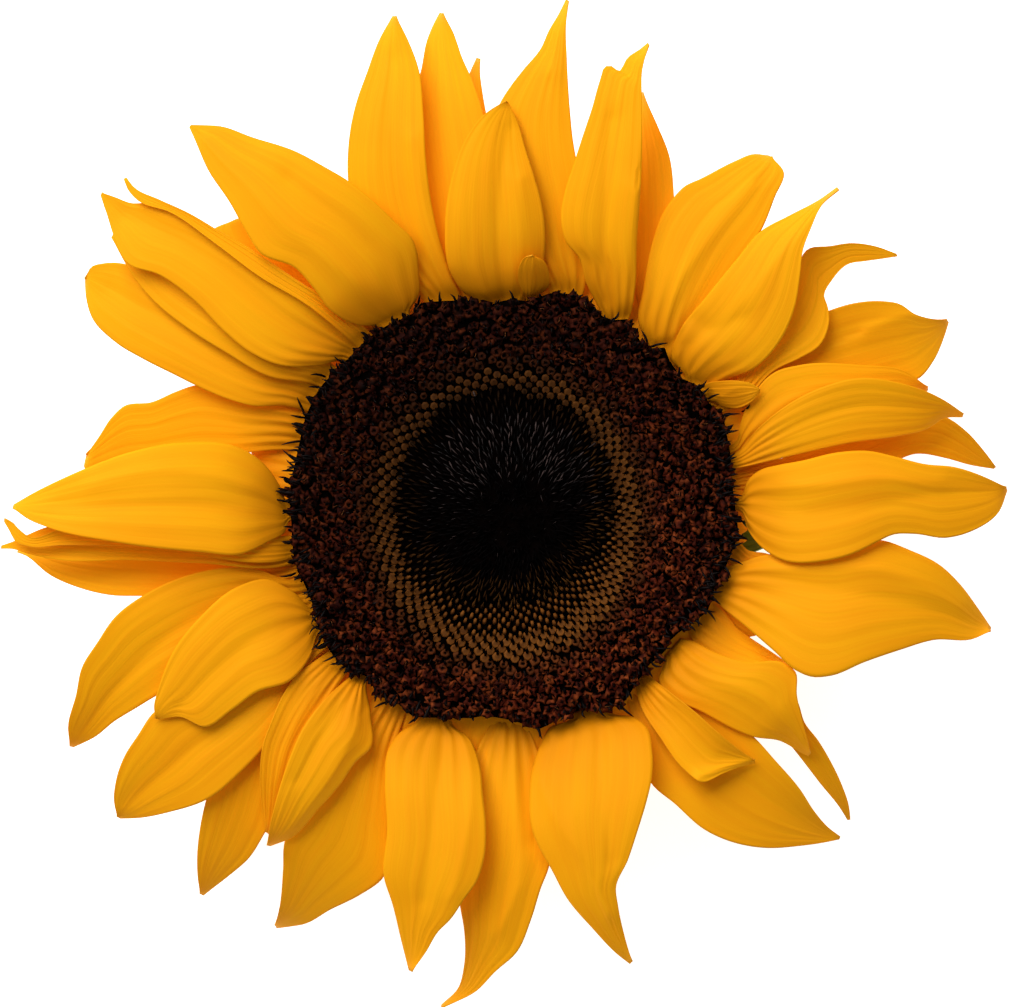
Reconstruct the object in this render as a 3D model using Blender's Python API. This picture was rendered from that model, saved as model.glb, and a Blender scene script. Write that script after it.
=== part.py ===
"""A sunflower head, picked with a short stub of its stalk and laid on its back, face up.

Blender 4.5. Metres, +Z up out of the flower's face. The origin is on the flower's axis, on the
cut face of the stub, which is the flat face that it rests on. Lengths below are in millimetres.
"""

import math

import bpy
import numpy as np
from mathutils.geometry import delaunay_2d_cdt

# Scale and place of the picture's points. One point is this many millimetres at the picture plane's
# height, and the picture was taken from straight above its own middle
MM_PER_POINT = 0.16
DISC_MIDDLE = (515, 514)
PICTURE_MIDDLE = (504.5, 503.5)
PICTURE_PLANE = 24.0
PICTURE_TAKEN_FROM = 1200.0
METRES_PER_MM = 0.001

# Stub of the stalk and the receptacle, a turned dish with a raised middle. Its back, as radius and
# height, from the cut face of the stub up to the dish's edge
STUB_RADIUS = 9.0
DISH_TOP = 18.0
BACK_PROFILE = (
    (STUB_RADIUS, 0), (STUB_RADIUS, 3.5), (9.8, 6.5), (13.0, 7.8), (22.0, 9.6), (30.0, 13.0),
    (35.4, 16.6), (36.0, DISH_TOP),
)
BOSS_RADIUS = 23.5
BOSS_TOP = 20.3
TURNED_SIDES = 40

# Gap between pieces that touch
GAP = 0.3

# Bracts, in rows under the petals: radius of the tips, height of the tips, half width, turn of the row
BRACTS_PER_ROW = 13
BRACT_ROWS = ((45.0, 14.6, 5.6, -5.0), (50.5, 16.2, 5.0, 8.8))
BRACT_ROOT_RADIUS = 24.0
BRACT_ROOT_TOP = 11.6
BRACT_THICKNESS = 1.0
BRACT_ROOT_WIDTH_SHARE = 0.25
BRACT_TIP_WIDTH = 0.3
BRACT_CUPPED = 0.5
BRACT_GRID = (6, 3)

# Ring that every petal grows from, under the rim of the disc
COLLAR_INNER = BOSS_RADIUS + GAP
COLLAR_OUTER = 36.4
COLLAR_BOTTOM = DISH_TOP + GAP
COLLAR_TOP = 20.3
COLLAR_SIDES = 64

# Petals: thickness of the solid blade, its root, and how they are laid on each other
PETAL_THICKNESS = 0.8
PETAL_ROOT_RADIUS = 33.0
PETAL_ROOT_SPREAD = 0.75
PETAL_ROOT_LOW = 19.2
PETAL_ROOT_HIGH = 19.9
PETAL_CLEARANCE = 0.3
PETAL_TIP_WIDTH = 0.5
RISE_WITHIN = 16.0
LIFT_BLUR_SHARE = 8
LIFT_FROM_RADIUS = 35.3
LIFT_FULL_RADIUS = 39.0
LAID_ROWS = 41
LAID_COLUMNS = 13
BLADE_ROWS = (0, 2, 6, 11, 16, 22, 28, 34, 38, 40)
BLADE_COLUMNS = (0, 3, 6, 9, 12)
MAP_CELL = 0.5
MAP_CELLS = 360
MAP_POINTS_PER_STEP = 4

# The highest that a petal's base may stand under the rim of the disc: a cone from this radius
PRESSED_FROM_RADIUS = 35.6
PRESSED_SLOPE = 0.7

# Disc: its floor, narrower than its rim, and the three zones of florets, by inner and outer radius
DISC_FLOOR = COLLAR_TOP + GAP
DISC_FLOOR_RADIUS = 35.0
CENTRE_OUTER = 15.8
RING_INNER = CENTRE_OUTER + GAP
RING_OUTER = 21.6
OUTER_INNER = RING_OUTER + GAP
OUTER_OUTER = 36.9
GOLDEN_ANGLE = math.pi * (3 - math.sqrt(5))

# Relief of each zone: sides of its round edges, spacing of its florets, and how high each stands over
# the hollows between them; a floret keeps this share of the spacing away from the zone's edges
OUTER_RELIEF = (72, 3.15, 1.9)
RING_RELIEF = (48, 2.35, 1.1)
CENTRE_RELIEF = (48, 2.35, 1.0)
FLORET_MARGIN_SHARE = 0.4
HOLLOW_MARGIN_SHARE = 0.13
SAME_POINT = 1e-5

# Height of the hollows: the outer zone's level and its fall to the rim, the ring's, and the middle's
OUTER_LEVEL = 23.0
OUTER_FALL = 0.8
OUTER_FALL_FROM = 30.0
OUTER_FALL_WITHIN = 7.0
RING_LEVEL = 22.7
CENTRE_EDGE_LEVEL = 22.6
CENTRE_DOME = 1.4

# Finishes: base colour and roughness
PETAL_YELLOW = ((0.92, 0.44, 0.012), 0.55)
BRACT_GREEN = ((0.16, 0.26, 0.05), 0.6)
FLORET_MAROON = ((0.08, 0.018, 0.01), 0.6)
BUD_GOLDEN_BROWN = ((0.23, 0.1, 0.03), 0.6)
BUD_BLACK = ((0.012, 0.009, 0.008), 0.45)

# Each petal, the lowest one first: its name, the points of its left edge, its tip and the points of its
# right edge, each from the base outwards and seen with the tip up, in picture points; then how it is
# held, in millimetres: rise from the base, droop of the tip, raised edges, and right edge over left.
PETALS = [
    ("north_back_c", [(480, 300), (470, 200), (462, 130), (464, 90), (470, 72)], (478, 58),
     [(510, 300), (505, 200), (495, 150), (486, 113), (482, 90), (480, 75)], (4, 8, 0, 1)),
    ("north_back_b", [(446, 300), (430, 240), (419, 180), (413, 130), (414, 95), (421, 70), (427, 40),
     (433, 25)], (441, 13), [(492, 300), (496, 240), (495, 200), (492, 160), (486, 125), (478, 97),
     (469, 73), (463, 60), (452, 30)], (6, 7, 0.3, 1)),
    ("north_east_back", [(640, 333), (632, 280), (628, 220), (628, 160), (634, 115)], (641, 93),
     [(662, 338), (672, 290), (675, 240), (674, 197), (669, 155), (658, 127), (648, 105)], (5, 8, 0, 1.5)),
    ("east_back_high", [(706, 388), (735, 362), (780, 335), (828, 311), (855, 303), (880, 301),
     (900, 304), (915, 314), (933, 319)], (948, 321), [(722, 412), (790, 408), (850, 398), (900, 386),
     (921, 377), (933, 362), (945, 335)], (6, 10, 0.5, -1)),
    ("east_back_low", [(744, 470), (850, 436), (900, 420), (946, 417), (965, 430), (985, 452)],
     (995, 468), [(745, 490), (850, 475), (893, 462), (915, 454), (945, 458), (970, 465)], (4, 10, 0.3, 0)),
    ("west_back_blunt", [(291, 450), (220, 456), (150, 462), (100, 466), (84, 468)], (86, 456),
     [(303, 408), (250, 396), (196, 385), (175, 392), (152, 402), (124, 406), (112, 417), (98, 438),
      (91, 448)], (6, 9, -0.3, 1)),
    ("west_back_low", [(292, 582), (230, 591), (180, 597), (144, 596), (110, 595), (80, 588), (50, 575),
     (25, 555)], (18, 550), [(287, 560), (200, 555), (130, 549), (60, 547), (30, 546)], (5, 9, 0, -1)),
    ("south_west_back_inner", [(318, 683), (295, 740), (275, 800), (267, 829), (262, 838), (250, 857),
     (230, 875), (212, 889)], (202, 895), [(300, 668), (250, 718), (216, 768), (206, 800), (200, 828),
     (197, 860), (198, 880)], (5, 12, 0.3, 1)),
    ("south_west_back_long", [(405, 716), (392, 760), (388, 830), (383, 878), (360, 895), (330, 910),
     (305, 924), (288, 927)], (276, 927), [(368, 706), (335, 765), (300, 815), (285, 840), (283, 870),
     (280, 905)], (5, 13, 0, 2)),
    ("south_east_back_narrow", [(700, 640), (750, 670), (797, 700), (805, 723), (818, 740), (830, 760),
     (842, 785), (849, 806)], (849, 820), [(688, 660), (745, 715), (792, 747), (800, 757), (820, 783),
     (840, 808)], (4, 12, 0.3, 0)),
    ("south_east_back_wide", [(656, 680), (700, 702), (754, 737), (775, 760), (800, 789), (815, 812),
     (828, 827)], (840, 838), [(628, 706), (640, 745), (651, 783), (675, 804), (705, 830), (735, 843),
     (765, 848), (800, 846), (822, 843)], (6, 11, 0.5, 0)),
    ("south_middle", [(528, 728), (540, 760), (549, 800), (551, 840), (549, 867), (541, 888),
     (531, 920), (517, 952), (495, 972), (475, 992), (455, 1002)], (441, 1006), [(488, 728), (472, 762),
     (462, 805), (458, 850), (460, 906), (464, 930), (464, 965), (458, 988)], (6, 13, -0.3, -1)),
    ("south_east_small_back", [(708, 600), (740, 630), (772, 652)], (793, 668), [(690, 636), (715, 655),
     (745, 664), (772, 668)], (3, 3, 0, 0)),
    ("north_a", [(425, 303), (385, 262), (358, 222), (348, 180), (348, 150), (351, 125), (357, 100),
     (366, 75), (380, 38)], (394, 16), [(462, 303), (452, 275), (440, 240), (431, 200), (426, 160),
     (423, 110), (419, 70), (408, 40)], (9, 6, -0.3, 1)),
    ("north_e", [(550, 294), (520, 250), (498, 190), (492, 140), (500, 103), (510, 87), (523, 70),
     (541, 48), (549, 30), (558, 15)], (567, 0), [(584, 292), (590, 250), (585, 200), (577, 163),
     (573, 140), (570, 110), (567, 60), (566, 25)], (9, 5, -0.3, 1)),
    ("north_east_horned", [(718, 396), (745, 360), (775, 310), (796, 268), (808, 249), (830, 246),
     (850, 243), (875, 246)], (897, 255), [(742, 402), (775, 370), (800, 358), (820, 345), (829, 322),
     (828, 308), (824, 296), (832, 280), (848, 264), (865, 261), (880, 259)], (8, 8, 0.3, 0)),
    ("north_east_round", [(645, 343), (638, 320), (643, 290), (653, 240), (662, 215), (674, 197),
     (685, 186), (700, 179), (735, 161), (753, 154)], (770, 156), [(680, 368), (700, 325), (725, 285),
     (745, 255), (761, 231), (775, 197), (784, 172)], (9, 8, -0.5, 1)),
    ("east_fold_upper", [(737, 440), (740, 425), (750, 400), (775, 372), (800, 365), (860, 365),
     (905, 371)], (928, 389), [(745, 462), (800, 450), (860, 430), (905, 408)], (9, 8, -0.3, 0)),
    ("south_west_long", [(312, 662), (285, 720), (245, 768), (206, 800), (170, 812), (140, 818)],
     (119, 818), [(300, 636), (240, 670), (190, 695), (154, 712), (138, 735), (124, 757), (116, 780),
     (114, 803)], (8, 10, -0.3, 1)),
    ("west_south_long", [(306, 612), (250, 645), (200, 672), (156, 696), (133, 710), (115, 721),
     (95, 737)], (72, 747), [(292, 580), (250, 568), (200, 572), (144, 595), (115, 617), (97, 643),
     (82, 667), (76, 695), (68, 728)], (9, 9, -0.3, 1)),
    ("north_west_round", [(302, 410), (285, 406), (255, 406), (225, 398), (197, 386), (175, 375),
     (145, 360), (115, 342), (92, 318), (86, 298)], (85, 280), [(318, 375), (260, 340), (200, 300),
     (150, 275), (126, 264), (105, 263), (91, 267)], (9, 8, -0.5, 1)),
    ("north_west_hidden", [(355, 333), (290, 302), (240, 268), (212, 246), (210, 234)], (236, 219),
     [(380, 320), (330, 280), (290, 250), (262, 216)], (7, 2, 0, 0)),
    ("west_hooked", [(287, 566), (200, 563), (130, 560), (60, 560), (25, 553), (13, 549)], (1, 547),
     [(286, 538), (200, 540), (110, 534), (47, 527), (27, 535), (14, 541)], (8, 7, 0.3, 1)),
    ("west_hook", [(286, 560), (150, 547), (60, 545), (28, 546), (15, 541), (10, 532)], (4, 520),
     [(286, 536), (150, 530), (60, 529), (30, 537), (19, 529), (11, 521)], (8, 6, 0, 1)),
    ("east_fold_lower", [(740, 450), (755, 432), (780, 410), (820, 388), (862, 378), (900, 383),
     (928, 392), (950, 404)], (963, 416), [(738, 468), (770, 461), (800, 454), (850, 443), (900, 436),
     (925, 430), (946, 418)], (10, 8, -0.5, -1)),
    ("north_west_lower", [(315, 385), (270, 377), (225, 352), (190, 330), (150, 297), (128, 268)],
     (112, 236), [(330, 362), (260, 310), (190, 262), (145, 232)], (10, 8, -0.3, 1)),
    ("south_west_left", [(345, 676), (325, 710), (300, 750), (287, 790), (276, 822)], (267, 833),
     [(316, 660), (295, 677), (283, 695), (272, 720), (263, 745), (260, 775), (262, 808)], (8, 9, 0.3, 0)),
    ("south_east_front", [(690, 640), (715, 652), (745, 662), (784, 663), (795, 671), (797, 695),
     (803, 723), (808, 742)], (809, 755), [(664, 662), (659, 680), (668, 694), (700, 711), (740, 732),
     (754, 737), (780, 741), (800, 752)], (9, 9, -0.3, -1)),
    ("south_east_small", [(654, 680), (672, 694), (695, 712), (715, 730), (737, 748)], (755, 762),
     [(636, 690), (640, 705), (660, 737), (685, 770), (702, 782), (722, 774), (740, 767)], (8, 5, 1.2, 0)),
    ("east_south_front", [(728, 566), (760, 556), (800, 550), (840, 545), (881, 540), (910, 550),
     (940, 565), (960, 584), (978, 608)], (991, 629), [(714, 600), (745, 626), (775, 652), (795, 670),
     (812, 677), (830, 676), (865, 662), (900, 650), (934, 640), (973, 639)], (12, 11, -0.6, 1)),
    ("north_d", [(478, 302), (464, 293), (451, 274), (445, 225), (451, 180), (464, 142), (486, 113),
     (500, 104)], (508, 102), [(526, 299), (540, 280), (545, 250), (541, 200), (534, 175), (526, 150),
     (517, 120)], (11, 4, -1, 0)),
    ("north_curl", [(524, 296), (518, 280), (519, 266), (524, 258)], (534, 256),
     [(540, 296), (549, 286), (549, 272), (544, 261)], (4, 0.5, -1, 0)),
    ("north_f", [(603, 318), (596, 303), (586, 283), (579, 258), (566, 242), (561, 215), (564, 195),
     (574, 163), (583, 135), (592, 108), (600, 80), (606, 66), (612, 66), (618, 71), (628, 57),
     (640, 49)], (648, 44), [(630, 316), (635, 290), (637, 240), (640, 200), (642, 150), (642, 100),
     (642, 72)], (13, 5, -0.6, 1)),
    ("north_east_front", [(685, 378), (671, 359), (680, 330), (705, 298), (735, 261), (761, 231),
     (790, 215), (820, 199)], (838, 188), [(728, 380), (752, 370), (780, 341), (794, 310), (800, 275),
     (803, 250), (811, 228), (823, 203)], (13, 6, -0.6, 1)),
    ("east_front", [(741, 496), (748, 480), (760, 470), (778, 465), (800, 461), (840, 452), (870, 451),
     (893, 456), (925, 464), (955, 467), (985, 477)], (1007, 489), [(741, 512), (748, 530), (760, 546),
     (782, 560), (825, 561), (850, 555), (881, 540), (892, 535), (915, 534), (945, 538), (970, 532),
     (999, 512)], (12, 9, -0.6, -1)),
    ("south_front_right", [(612, 713), (636, 718), (646, 726), (652, 750), (651, 783), (647, 800),
     (637, 833), (628, 860), (616, 888), (618, 905), (627, 945)], (631, 963), [(570, 719), (550, 727),
     (540, 745), (531, 772), (529, 800), (532, 830), (543, 855), (550, 867), (568, 900), (592, 928),
     (618, 955)], (11, 10, -0.6, 1)),
    ("south_front_left", [(452, 723), (469, 738), (480, 765), (483, 795), (486, 825), (484, 860),
     (476, 883), (465, 898), (450, 920), (438, 932), (426, 952)], (410, 971), [(416, 722), (399, 733),
     (388, 750), (385, 780), (387, 830), (384, 878), (392, 903), (401, 940)], (11, 9, -0.6, -1)),
    ("south_west_front", [(368, 680), (371, 715), (371, 748), (357, 761), (340, 785), (318, 810),
     (293, 837)], (269, 846), [(348, 678), (330, 694), (305, 725), (287, 765), (276, 800),
     (269, 832)], (11, 9, -0.6, 1)),
    ("west_south_front", [(318, 634), (311, 655), (290, 681), (257, 692), (232, 710), (205, 727),
     (180, 717)], (157, 719), [(312, 608), (295, 593), (265, 579), (235, 588), (200, 617), (174, 650),
     (158, 690), (154, 706)], (11, 8, -0.6, 1)),
    ("west_front", [(289, 522), (285, 532), (270, 541), (242, 554), (200, 552), (120, 543), (47, 527),
     (28, 519)], (13, 506), [(288, 503), (280, 486), (260, 460), (235, 446), (190, 442), (130, 452),
     (84, 469), (55, 482), (35, 492)], (13, 7, -0.6, 1)),
    ("north_west_edge", [(343, 361), (320, 365), (280, 365), (250, 352), (225, 332), (195, 301),
     (160, 275), (126, 262), (115, 240), (107, 215)], (101, 194), [(352, 338), (306, 292), (250, 248),
     (200, 223), (166, 208), (146, 203), (131, 203), (115, 197)], (10, 6, -0.3, 1)),
    ("north_west_strip", [(351, 342), (305, 304), (260, 277), (215, 243), (170, 212), (137, 200),
     (128, 190)], (125, 178), [(368, 330), (345, 310), (300, 282), (255, 252), (219, 231), (190, 214),
     (160, 200), (134, 187)], (10, 6, 0.3, 0)),
    ("north_west_front", [(378, 327), (358, 325), (332, 312), (315, 290), (295, 268), (260, 253),
     (246, 232), (230, 203), (208, 170), (194, 138)], (190, 126), [(410, 310), (418, 298), (419, 270),
     (413, 240), (395, 222), (370, 198), (347, 180), (325, 167), (295, 151), (252, 137), (220, 126),
     (203, 125)], (14, 7, -0.6, 1)),
]


def clear_scene():
    for obj in list(bpy.data.objects):
        bpy.data.objects.remove(obj)


def material(name, color, roughness):
    """A plain finish: base colour, roughness, no metal."""
    made = bpy.data.materials.new(name)
    made.use_nodes = True
    shader = made.node_tree.nodes["Principled BSDF"]
    shader.inputs["Base Color"].default_value = (*color, 1)
    shader.inputs["Roughness"].default_value = roughness
    shader.inputs["Metallic"].default_value = 0
    return made


def mesh_object(name, points, faces, finish=None):
    """An object whose mesh has these points, given in millimetres."""
    mesh = bpy.data.meshes.new(name)
    scaled = np.asarray(points, float) * METRES_PER_MM
    mesh.from_pydata(scaled.tolist(), [], [tuple(int(i) for i in face) for face in faces])
    mesh.validate()
    obj = bpy.data.objects.new(name, mesh)
    bpy.context.scene.collection.objects.link(obj)
    if finish:
        mesh.materials.append(finish)
    return obj


def fused(name, pieces, finish):
    """One object made of all the pieces by a Boolean union; the pieces are then removed."""
    collection = bpy.data.collections.new(name)
    bpy.context.scene.collection.children.link(collection)
    first, rest = pieces[0], pieces[1:]
    for piece in rest:
        bpy.context.scene.collection.objects.unlink(piece)
        collection.objects.link(piece)
    union = first.modifiers.new("union", "BOOLEAN")
    union.operation = "UNION"
    union.operand_type = "COLLECTION"
    union.collection = collection
    union.solver = "MANIFOLD"
    bpy.context.view_layer.update()
    graph = bpy.context.evaluated_depsgraph_get()
    mesh = bpy.data.meshes.new_from_object(first.evaluated_get(graph))
    for piece in pieces:
        bpy.data.objects.remove(piece)
    bpy.data.collections.remove(collection)
    mesh.materials.clear()
    mesh.materials.append(finish)
    obj = bpy.data.objects.new(name, mesh)
    bpy.context.scene.collection.objects.link(obj)
    return obj


def turned_solid(name, profile, sides, finish=None):
    """A solid of revolution about Z: its profile's (radius, height) points run round a closed section.
    A point with no radius is one point on the axis, and the others become rings of points."""
    angles = np.arange(sides) * 2 * math.pi / sides
    points, rings = [], []
    for radius, height in profile:
        rings.append(len(points))
        if radius == 0:
            points.append((0, 0, height))
        else:
            points += [(radius * math.cos(a), radius * math.sin(a), height) for a in angles]
    faces = []
    for k, (radius, _) in enumerate(profile):
        other = (k + 1) % len(profile)
        if radius == 0 and profile[other][0] == 0:
            continue
        for j in range(sides):
            near, far = rings[k] + j, rings[k] + (j + 1) % sides
            near_next, far_next = rings[other] + j, rings[other] + (j + 1) % sides
            if radius == 0:
                faces.append((rings[k], near_next, far_next))
            elif profile[other][0] == 0:
                faces.append((far, near, rings[other]))
            else:
                faces.append((far, near, near_next, far_next))
    obj = mesh_object(name, points, faces, finish)
    return obj


def blade_solid(name, top, thickness):
    """A closed blade: a grid of points, the same grid lowered by the thickness, and a wall round them.
    Each square of the grid is split along the same diagonal on both faces."""
    rows, columns, _ = top.shape
    bottom = top - (0, 0, thickness)
    points = np.concatenate([top.reshape(-1, 3), bottom.reshape(-1, 3)])
    index = np.arange(rows * columns).reshape(rows, columns)
    a, b = index[:-1, :-1].ravel(), index[:-1, 1:].ravel()
    c, d = index[1:, 1:].ravel(), index[1:, :-1].ravel()
    upper = np.concatenate([np.stack([a, b, c], 1), np.stack([a, c, d], 1)])
    lower = upper[:, ::-1] + rows * columns
    rim = np.concatenate([index[0, :], index[1:, -1], index[-1, -2::-1], index[-2:0:-1, 0]])
    after = np.roll(rim, -1)
    wall = np.concatenate([
        np.stack([after, rim, rim + rows * columns], 1),
        np.stack([after, rim + rows * columns, after + rows * columns], 1),
    ])
    return mesh_object(name, points, np.concatenate([upper, lower, wall]))


def smooth_curve(points, places):
    """Points at the given shares of a smooth curve's length: a cubic through the points, whose slope at
    each one is that of the parabola through it and its two neighbours."""
    points = np.asarray(points, float)
    steps = np.hypot(*np.diff(points, axis=0).T)
    knots = np.concatenate([[0], np.cumsum(steps)]) / steps.sum()
    slopes = np.gradient(points, knots, axis=0)
    segment = np.clip(np.searchsorted(knots, places, side="right") - 1, 0, len(knots) - 2)
    length = (knots[segment + 1] - knots[segment])[:, None]
    t = ((places - knots[segment]) / length[:, 0])[:, None]
    return (
        (2 * t**3 - 3 * t**2 + 1) * points[segment]
        + (t**3 - 2 * t**2 + t) * length * slopes[segment]
        + (3 * t**2 - 2 * t**3) * points[segment + 1]
        + (t**3 - t**2) * length * slopes[segment + 1]
    )


def placed(points):
    """Picture points as millimetres from the flower's axis, with +Y up the picture."""
    points = np.asarray(points, float)
    return (points - DISC_MIDDLE) * (MM_PER_POINT, -MM_PER_POINT)


def drawn_in(grid):
    """The grid moved along the lines of sight, so that each point is seen where the picture has it: the
    nearer it is to where the picture was taken, the nearer it is to the line through its middle."""
    middle = placed([PICTURE_MIDDLE])[0]
    share = (PICTURE_TAKEN_FROM - grid[..., 2:]) / (PICTURE_TAKEN_FROM - PICTURE_PLANE)
    return np.concatenate([middle + (grid[..., :2] - middle) * share, grid[..., 2:]], axis=2)


def root_points(left, right):
    """The petal's two root corners, under the rim of the disc: its base points turned towards each
    other and moved in to the root radius."""
    first, second = math.atan2(left[1], left[0]), math.atan2(right[1], right[0])
    half = (second - first + math.pi) % (2 * math.pi) - math.pi
    middle = first + half / 2
    half *= PETAL_ROOT_SPREAD / 2
    corners = [(math.cos(middle + turn), math.sin(middle + turn)) for turn in (-half, half)]
    return np.array(corners) * PETAL_ROOT_RADIUS


def petal_outline(petal, places):
    """The petal's left and right edges at the given shares of their length, in millimetres."""
    _, left, tip, right, _ = petal
    left, tip, right = placed(left), placed([tip])[0], placed(right)
    roots = root_points(left[0], right[0])
    across = right[-1] - left[-1]
    across *= PETAL_TIP_WIDTH / 2 / max(np.hypot(*across), PETAL_TIP_WIDTH)
    left = np.concatenate([roots[:1], left, [tip - across]])
    right = np.concatenate([roots[1:], right, [tip + across]])
    return smooth_curve(left, places), smooth_curve(right, places)


def petal_surface(petal, rank, rows, columns):
    """The petal before it is laid on others: rows ruled from edge to edge, raised along it by
    rise (1 - exp(-s / RISE_WITHIN)) - droop u^3, where s is the length from the root, and across it by
    edge sin(pi u) v^2 + tilt u v."""
    rise, droop, edge, tilt = petal[4]
    u = np.linspace(0, 1, rows)[:, None]
    v = np.linspace(-1, 1, columns)[None, :]
    left, right = petal_outline(petal, u[:, 0])
    share = (v[..., None] + 1) / 2
    flat = left[:, None] * (1 - share) + right[:, None] * share
    steps = np.hypot(*np.diff(left + right, axis=0).T) / 2
    length = np.concatenate([[0], np.cumsum(steps)])[:, None]
    root = PETAL_ROOT_LOW + (PETAL_ROOT_HIGH - PETAL_ROOT_LOW) * rank
    along = rise * (1 - np.exp(-length / RISE_WITHIN)) - droop * u**3
    across = edge * np.sin(math.pi * u) * v**2 + tilt * u * v
    height = root + along + across
    return np.concatenate([flat, height[..., None]], axis=2)


def smoothed(values):
    """The values blurred along the petal, then raised until none is below what it was."""
    width = len(values) // LIFT_BLUR_SHARE
    kernel = np.hanning(2 * width + 3)[1:-1]
    padded = np.pad(values, width, mode="edge")
    blurred = np.convolve(padded, kernel / kernel.sum(), mode="valid")
    return blurred + max((values - blurred).max(), 0)


def lift_off(need):
    """How far each row and column is raised so that the petal clears what is under it: once lifted it
    stays lifted out to its tip, more on the side that needs more."""
    columns = need.shape[1]
    share = np.linspace(0, 1, columns)[None, :]
    left = smoothed(np.maximum.accumulate(need[:, : columns // 2 + 1].max(axis=1)))[:, None]
    right = smoothed(np.maximum.accumulate(need[:, columns // 2 :].max(axis=1)))[:, None]
    tilted = left * (1 - share) + right * share
    rest = smoothed(np.maximum.accumulate((need - tilted).max(axis=1).clip(0)))
    return tilted + rest[:, None]


def map_cells(points):
    """Row and column of the height map's cell under each point."""
    cells = np.floor(points[..., :2] / MAP_CELL).astype(int) + MAP_CELLS // 2
    return cells[..., 1].clip(1, MAP_CELLS - 2), cells[..., 0].clip(1, MAP_CELLS - 2)


def denser(grid, times):
    """The grid with points put in between by straight lines, times as many each way."""
    for axis in (0, 1):
        count = grid.shape[axis]
        places = np.linspace(0, count - 1, (count - 1) * times + 1)
        low = np.minimum(places.astype(int), count - 2)
        shape = [1, 1, 1]
        shape[axis] = -1
        part = (places - low).reshape(shape)
        grid = grid.take(low, axis) * (1 - part) + grid.take(low + 1, axis) * part
    return grid


def laid_petals():
    """Every petal's grid of points, each one lifted clear of those listed before it. A map of heights
    keeps the top of what is already laid. The lift fades out towards the root."""
    tops = np.zeros((MAP_CELLS, MAP_CELLS))
    laid = []
    for k, petal in enumerate(PETALS):
        grid = petal_surface(petal, k / (len(PETALS) - 1), LAID_ROWS, LAID_COLUMNS)
        rows, columns = map_cells(grid)
        beside = [tops[rows + i, columns + j] for i in (-1, 0, 1) for j in (-1, 0, 1)]
        radius = np.hypot(grid[..., 0], grid[..., 1])
        fade = ((radius - LIFT_FROM_RADIUS) / (LIFT_FULL_RADIUS - LIFT_FROM_RADIUS)).clip(0, 1)
        need = np.max(beside, axis=0) + PETAL_CLEARANCE + PETAL_THICKNESS - grid[..., 2]
        need = np.where(radius > LIFT_FROM_RADIUS, need, 0).clip(0)
        pressed = PETAL_ROOT_HIGH + PRESSED_SLOPE * (radius - PRESSED_FROM_RADIUS).clip(0)
        grid[..., 2] = np.minimum(grid[..., 2] + lift_off(need) * fade, pressed)
        dense = denser(grid, MAP_POINTS_PER_STEP)
        np.maximum.at(tops, map_cells(dense), dense[..., 2])
        laid.append((petal[0], drawn_in(grid)))
    return laid


def ray_petals(finish):
    """Every petal and the collar that they grow from, as one body."""
    profile = (
        (COLLAR_INNER, COLLAR_BOTTOM),
        (COLLAR_INNER, COLLAR_TOP),
        (COLLAR_OUTER, COLLAR_TOP),
        (COLLAR_OUTER, COLLAR_BOTTOM),
    )
    pieces = [turned_solid("collar", profile, COLLAR_SIDES)]
    for name, grid in laid_petals():
        pieces.append(blade_solid(name, grid[np.ix_(BLADE_ROWS, BLADE_COLUMNS)], PETAL_THICKNESS))
    return fused("ray_petals", pieces, finish)


def bract(name, tip_radius, tip_height, half_width, turn):
    """A pointed leaf of the back: its half width follows a sine skewed towards its root, and it climbs
    from the dish's underside and levels out at its tip."""
    u = np.linspace(0, 1, BRACT_GRID[0])[:, None]
    v = np.linspace(-1, 1, BRACT_GRID[1])[None, :]
    radius = BRACT_ROOT_RADIUS + (tip_radius - BRACT_ROOT_RADIUS) * u
    widening = BRACT_ROOT_WIDTH_SHARE + (1 - BRACT_ROOT_WIDTH_SHARE) * np.sin(math.pi * u**0.8)
    width = half_width * widening * (1 - u**4) + BRACT_TIP_WIDTH * u
    height = BRACT_ROOT_TOP + (tip_height - BRACT_ROOT_TOP) * (1 - (1 - u) ** 2) + BRACT_CUPPED * v**2
    x, y = radius + 0 * v, width * v
    top = np.stack([
        x * math.cos(turn) - y * math.sin(turn),
        x * math.sin(turn) + y * math.cos(turn),
        height + 0 * x,
    ], axis=2)
    return blade_solid(name, top[:, ::-1], BRACT_THICKNESS)


def green_back(finish):
    """The stub of the stalk, the dish of the receptacle and the bracts, grown as one piece."""
    profile = (
        (0, 0),
        (0, BOSS_TOP),
        (BOSS_RADIUS, BOSS_TOP),
        (BOSS_RADIUS, DISH_TOP),
        *reversed(BACK_PROFILE),
    )
    pieces = [turned_solid("receptacle", profile, TURNED_SIDES)]
    for tip_radius, tip_height, half_width, first in BRACT_ROWS:
        for k in range(BRACTS_PER_ROW):
            turn = math.radians(first + k * 360 / BRACTS_PER_ROW)
            pieces.append(bract("bract", tip_radius, tip_height, half_width, turn))
    return fused("receptacle_and_bracts", pieces, finish)


def phyllotaxis(inner, outer, spacing):
    """Places of florets between two radii: the k-th is at spacing sqrt(k / pi) from the axis, and each
    is turned by the golden angle from the one before."""
    k = np.arange(1, int(math.pi * (outer / spacing) ** 2) + 2)
    radius = spacing * np.sqrt(k / math.pi)
    kept = (radius > inner) & (radius < outer)
    return np.stack([radius * np.cos(k * GOLDEN_ANGLE), radius * np.sin(k * GOLDEN_ANGLE)], 1)[kept]


def ring_points(radius, sides):
    angles = np.arange(sides) * 2 * math.pi / sides
    return np.stack([radius * np.cos(angles), radius * np.sin(angles)], 1)


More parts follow.
